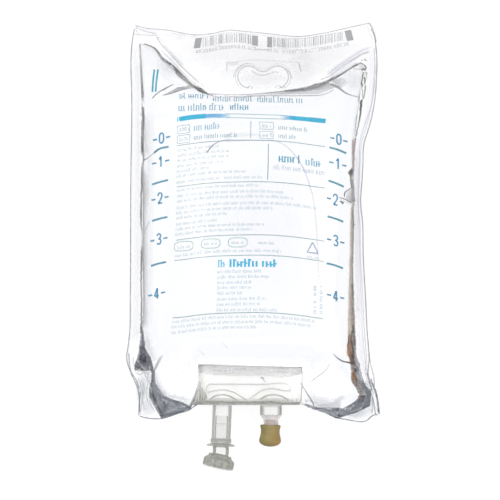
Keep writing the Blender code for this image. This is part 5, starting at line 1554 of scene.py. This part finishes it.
turnedPiece("injectionTube", profile, tubeMaterial, "injection_port_tube", looks, "injection")


def rubberMaterial():
    # tan rubber: cloudy tan, warmer low down where the light comes through, with fine moulding grain
    made, add = newMaterial("tanRubber")
    mixed = twoColours(add, cloudNoise(add, 120, 5), 0.36, "8c8252", 0.66, "a08f5e")
    place = add("TexCoord").outputs["Object"]
    centre = add("Mapping", {"Location": (-14 * mm, 99 * mm, -15 * mm), "Vector": place})
    length = add("VectorMath", {0: centre}, operation="LENGTH").outputs["Value"]
    warm = spanNode(add, length, 0.5 * mm, 6 * mm, 0.75, 0)
    blend = add("Mix", {"B": (*tone("ae8a56")[0], 1), "Factor": warm, "A": mixed}, data_type="RGBA")
    bump = add("Bump", {"Strength": 0.25, "Distance": 0.2 * mm, "Height": cloudNoise(add, 2600)})
    rubber = add("BsdfPrincipled", {
        "Roughness": 0.62, "Specular IOR Level": 0.35, "Subsurface Weight": 0.15, "Subsurface Scale": 2 * mm,
        "Base Color": blend.outputs["Result"], "Normal": bump})
    add("OutputMaterial", {0: rubber})
    return made


stopper = {
    "rim": 5.3, "waist": 4.9, "bulge": 5.8, "length": 11.4, "plug": 2.4, "plugTop": -7.8, "sleeve": 4.1,
}
high = injection["rubber"]
low = high - stopper["length"]
under = injection["end"] - 0.3
profile = rounded(((0, stopper["plugTop"]), (stopper["plug"], stopper["plugTop"]),
    (stopper["plug"], under), (stopper["sleeve"], under), (stopper["sleeve"], high),
    (stopper["rim"], high), (stopper["rim"], high - 1.1), (stopper["waist"], high - 2.2),
    (stopper["waist"], high - 4.6), (stopper["bulge"] - 0.3, high - 6.8), (stopper["bulge"], high - 8.3),
    (stopper["bulge"] - 0.4, low + 2.0), (stopper["bulge"] * 0.75, low + 1.0),
    (stopper["bulge"] * 0.4, low + 0.2), (0, low)),
    (0, 0.4, 0.2, 0.2, 0.2, 0.5, 0.5, 0.7, 1.2, 1, 0.9, 0.9, 0.9, 1, 0))
turnedPiece("rubberStopper", profile, rubberMaterial(), "injection_stopper", tinted(()),
            "stopper", closed=False, longest=stopper["length"])

block = bpy.data.objects["port_block"]
block.data.materials.clear()
block.data.materials.append(blockMaterial)
print("ports")


# Lines of the block's weld, on the film over it

blockMarks = newDrawing()
line, patch, streaks = pensFor(blockMarks)[:3]
patch(((199, 365), (301.4, 367.6), (300.6, 374.4), (199.6, 374)), "d6d6d6 d0ced0 e2e0e2 e4e3e3",
    (0.5, 0.6, 0.6, 0.5), 24)
streaks(((201, 369.4), (230, 370), (262, 371), (299, 372)), 8, 34, "eeeef0 cacacb e2e2e4 c4c2c6", 0.8, 61,
    (0.02, 0.09))
patch(((212, 367), (232, 367.6), (232, 371), (212, 371)), "fafafe", (0.1, 0.5, 0.5, 0.2), 4)
line(((198.6, 365), (214, 365.2), (240, 366), (262, 366.6), (284, 367.4), (301.4, 367.6)), 1.1,
    "a8a8a6 c4c4c2 c6c6c4 c4c4c2 bebebe aaaaaa", 0.9, wave=0.1)
line(((211, 373.8), (240, 374.6), (262, 374.8), (284, 376.4), (300, 374)), 1.2, "e0dfdc", 0.6, fade=6,
    soft=0.7, wave=0.12)
line(((198.8, 364.6), (198, 371), (197.5, 377), (197.4, 383)), 1.1, "bcbcb7", 0.9)
line(((201.4, 381.4), (198.4, 389), (194.4, 399), (191.8, 404.6), (189.4, 408)), (0.9, 1, 1.2, 1.5, 1.6),
    "d6d6ce c4c4be b4b4b0 96989a 848890", 0.9)
# painted shade, darker towards the bottom, where the film bulges at the block's lower left corner
patch(((199.6, 384), (205.6, 393), (206.4, 404), (192.4, 405)), "f0f0ea e8e8e2 c4c3bc cecdc6",
    (0.5, 0.7, 0.9, 0.9), 10)
for u in (194.6, 197.4, 199.8, 202.2, 204.4):
    line(((u + 1.4, 392), (u + 0.4, 397.6), (u - 0.6, 404)), 0.7, "9c9b92", (0, 0.5, 0.85))
line(((301.8, 367.4), (302.2, 378), (301.8, 390), (300.6, 402)), 1.1, 190, 0.8)
# painted light: near-white patches round the block and pale ovals over the bulging film beside it,
# brightening film that slopes away from the lamps; their material gives them a little light of their own
lit = newDrawing()
for corners, colours, strengths in (
        (((199, 373), (207, 373), (207, 393), (199, 388)), "e8e8e2 f6f6f3 f6f6f2 e8e8e2",
            (0.9, 0, 0, 0.9)),
        (((290, 375.6), (302, 374), (302.2, 392), (290, 396)), "fcfcfa f0f0ee e8e8e6 fafaf8",
            (0, 0.9, 0.9, 0)),
        (((290, 396), (302.2, 392), (301, 404), (292, 402)), "fafaf8 e8e8e6 cececc d8d8d5",
            (0, 0.9, 0.8, 0.3)),
        (((195.6, 357), (306, 358.4), (306, 361.4), (195.6, 360)), 253, (0, 0, 1, 1)),
        (((195.6, 360), (306, 361.4), (306, 366.9), (195.6, 364.2)), 253, 1),
        (((190, 360), (195.6, 360), (195.6, 388), (184, 392)), 253, (0, 1, 1, 0)),
        (((195.6, 360), (198.4, 361), (197.6, 384), (195.6, 388)), 253, 1),
        (((184, 392), (197.6, 384), (191.6, 401.6), (184, 404)), 253, (0, 1, 0.9, 0)),
        (((302.4, 361.4), (306, 361.4), (306, 391), (302, 384)), 253, 1),
        (((306, 361.4), (312, 361.4), (312, 398), (306, 391)), 253, (1, 0, 0, 1)),
        (((302, 387), (306, 393), (310, 402), (302.4, 402)), 250, (0.9, 0.9, 0.7, 0.9))):
    addPatch(lit, corners, colours, strengths, 16)
for middle, reach, strength in (((178, 382), 26, 0.85), ((324, 382), 26, 0.85), ((340, 386), 16, 0.7),
                                ((168, 372), 14, 0.6)):
    addGlow(lit, middle, (reach, reach), "fcfcff", strength)
finishDrawing(lit, "litWeld", litMaterial, 0.05 * mm)
patch(((206, 398.4), (300.8, 398.4), (299.6, 405), (192, 404.8)), "dcdcd7 d4d4cf a8a9a6 a8a9a3",
    (0.2, 0.2, 0.95, 0.95), 26)
streaks(((194, 402.6), (230, 402.8), (262, 402.8), (299, 403)), 3.6, 40, "969692 c4c4c0 d6d6d3 acaca8",
    0.85, 62, (0.01, 0.05))
line(((206, 401.6), (236, 402.4), (262, 402), (292, 403.4), (300, 402.8)), 1.6, "a2a29e", 0.7, wave=0.3,
    seed=9)
line(((206.6, 391.4), (206.4, 387), (209, 384.4), (214, 384.2), (240, 384.2), (266, 384.2), (284, 383.4),
    (287.6, 384.2), (290, 388), (290.8, 391.6)), 0.9,
    "d6d6d0 d0d0ca b6b6af aeaea7 aaaaa4 acaca6 c8c8c3 dededa e8e8e5 f0f0ee", 0.85)
for left, peak, right, level in ((207.6, 220.4, 246, 389.8), (249.4, 275.6, 291, 389)):
    line(((left, level + (2.6 if left < 210 else 10)), (left * 0.45 + peak * 0.55, level + 0.9),
        (peak, level), (peak * 0.6 + right * 0.4, level + 1.4),
        (right, level + (9.8 if left < 210 else 2))), 0.95, "c4c4ba b6b6ae b4b4ac b2b2aa babab4", 0.85)
for left, peak, right in ((209.6, 221.6, 237.4), (259.4, 274.4, 288.6)):
    line(((left, 399.6), (left * 0.6 + peak * 0.4, 396.2), (peak, 394.8),
        (peak * 0.45 + right * 0.55, 396.4), (right, 400.4)), 1.1, "acaca8 a4a49e b6b6b1 a4a4a0 a8a8a4",
        0.9)
    patch(((left + 2.5, 397.6), (right - 3, 397.8), (right + 1, 404), (left - 2, 404)), "d4d4d0",
        (0.3, 0.3, 0, 0), 8)
line(((260.6, 377.4), (264, 378.4)), 1.6, "acaac0", 0.8, curved=False)
line(((262.6, 379), (265.4, 382)), 0.9, "c8c6d4", 0.7, curved=False)
line(((201, 388), (205, 393), (206.8, 398.6)), 0.9, "b0aea0", 0.7)
finishDrawing(blockMarks, "blockWeld", foldMaterial, 0.07 * mm)
print("block")


# Floor, light and camera

def unseenRays(add, path):
    # 1 for rays that have gone through the bag or glance off it
    return add("Math", {0: path.outputs["Is Transmission Ray"], 1: path.outputs["Is Glossy Ray"]},
               operation="MAXIMUM")


def makeFloor():
    # a pale plane: plain to the lamps, near white to the camera, white through the bag and in its gloss
    bpy.ops.mesh.primitive_plane_add(size=6)
    floor = bpy.context.object
    floor.name = "floor"
    floor.location.z = -0.2 * mm
    made, add = newMaterial("paleFloor")
    path = add("LightPath")
    plain = add("BsdfDiffuse", {"Color": (0.8, 0.8, 0.8, 1)})
    shaded = add("BsdfDiffuse", {"Color": (0.22, 0.22, 0.22, 1)})
    seen = add("AddShader", {0: shaded, 1: add("Emission", {"Strength": 0.86})})
    toCamera = add("MixShader", {0: path.outputs["Is Camera Ray"], 1: plain, 2: seen})
    add("OutputMaterial", {0: add("MixShader", {0: unseenRays(add, path), 1: toCamera, 2: add("Emission")})})
    floor.data.materials.append(made)


def makeWorld():
    # white to the camera, grey to pale with height through the bag and in its gloss, and a soft fill light
    world = bpy.data.worlds.new("studio")
    bpy.context.scene.world = world
    world.use_nodes = True
    add = nodeMaker(world.node_tree)
    path = add("LightPath")
    height = add("SeparateXYZ", {0: add("TexCoord").outputs["Generated"]}).outputs["Z"]
    ramp = add("ValToRGB", {0: height})
    low, high = ramp.color_ramp.elements
    low.position, low.color = 0, (0.10, 0.11, 0.12, 1)
    high.position, high.color = 0.55, (1, 1, 1, 1)
    room, fill = add("Background", {"Color": ramp}), add("Background", {"Strength": 0.55})
    unseen = add("MixShader", {0: unseenRays(add, path), 1: fill, 2: room})
    white = add("MixShader", {0: path.outputs["Is Camera Ray"], 1: unseen, 2: add("Background")})
    add("OutputWorld", {0: white})


def makeLights():
    # two soft square lamps that look at the origin
    for name, place, power in (("keyLight", (-0.5, 0.4, 1.2), 9), ("fillLight", (0.7, -0.3, 1), 5)):
        lamp = bpy.data.lights.new(name, "AREA")
        lamp.size = 0.9
        lamp.energy = power
        item = bpy.data.objects.new(name, lamp)
        item.location = place
        item.rotation_euler = (-Vector(place)).to_track_quat("-Z", "Y").to_euler()
        bpy.context.scene.collection.objects.link(item)


def makeCamera():
    # straight above, with the lens that gives the photograph's pixel at the sharp height
    data = bpy.data.cameras.new("camera")
    camera = bpy.data.objects.new("camera", data)
    bpy.context.scene.collection.objects.link(camera)
    _, scale, eyeX, eyeY, distance = sight()
    camera.location = (eyeX, eyeY, photoFrame["cameraHeight"])
    data.sensor_width = 36
    data.lens = data.sensor_width * distance / (photoFrame["pixels"] * scale)
    bpy.context.scene.camera = camera


makeFloor()
makeWorld()
makeLights()
makeCamera()
bpy.context.scene.view_settings.view_transform = "Standard"
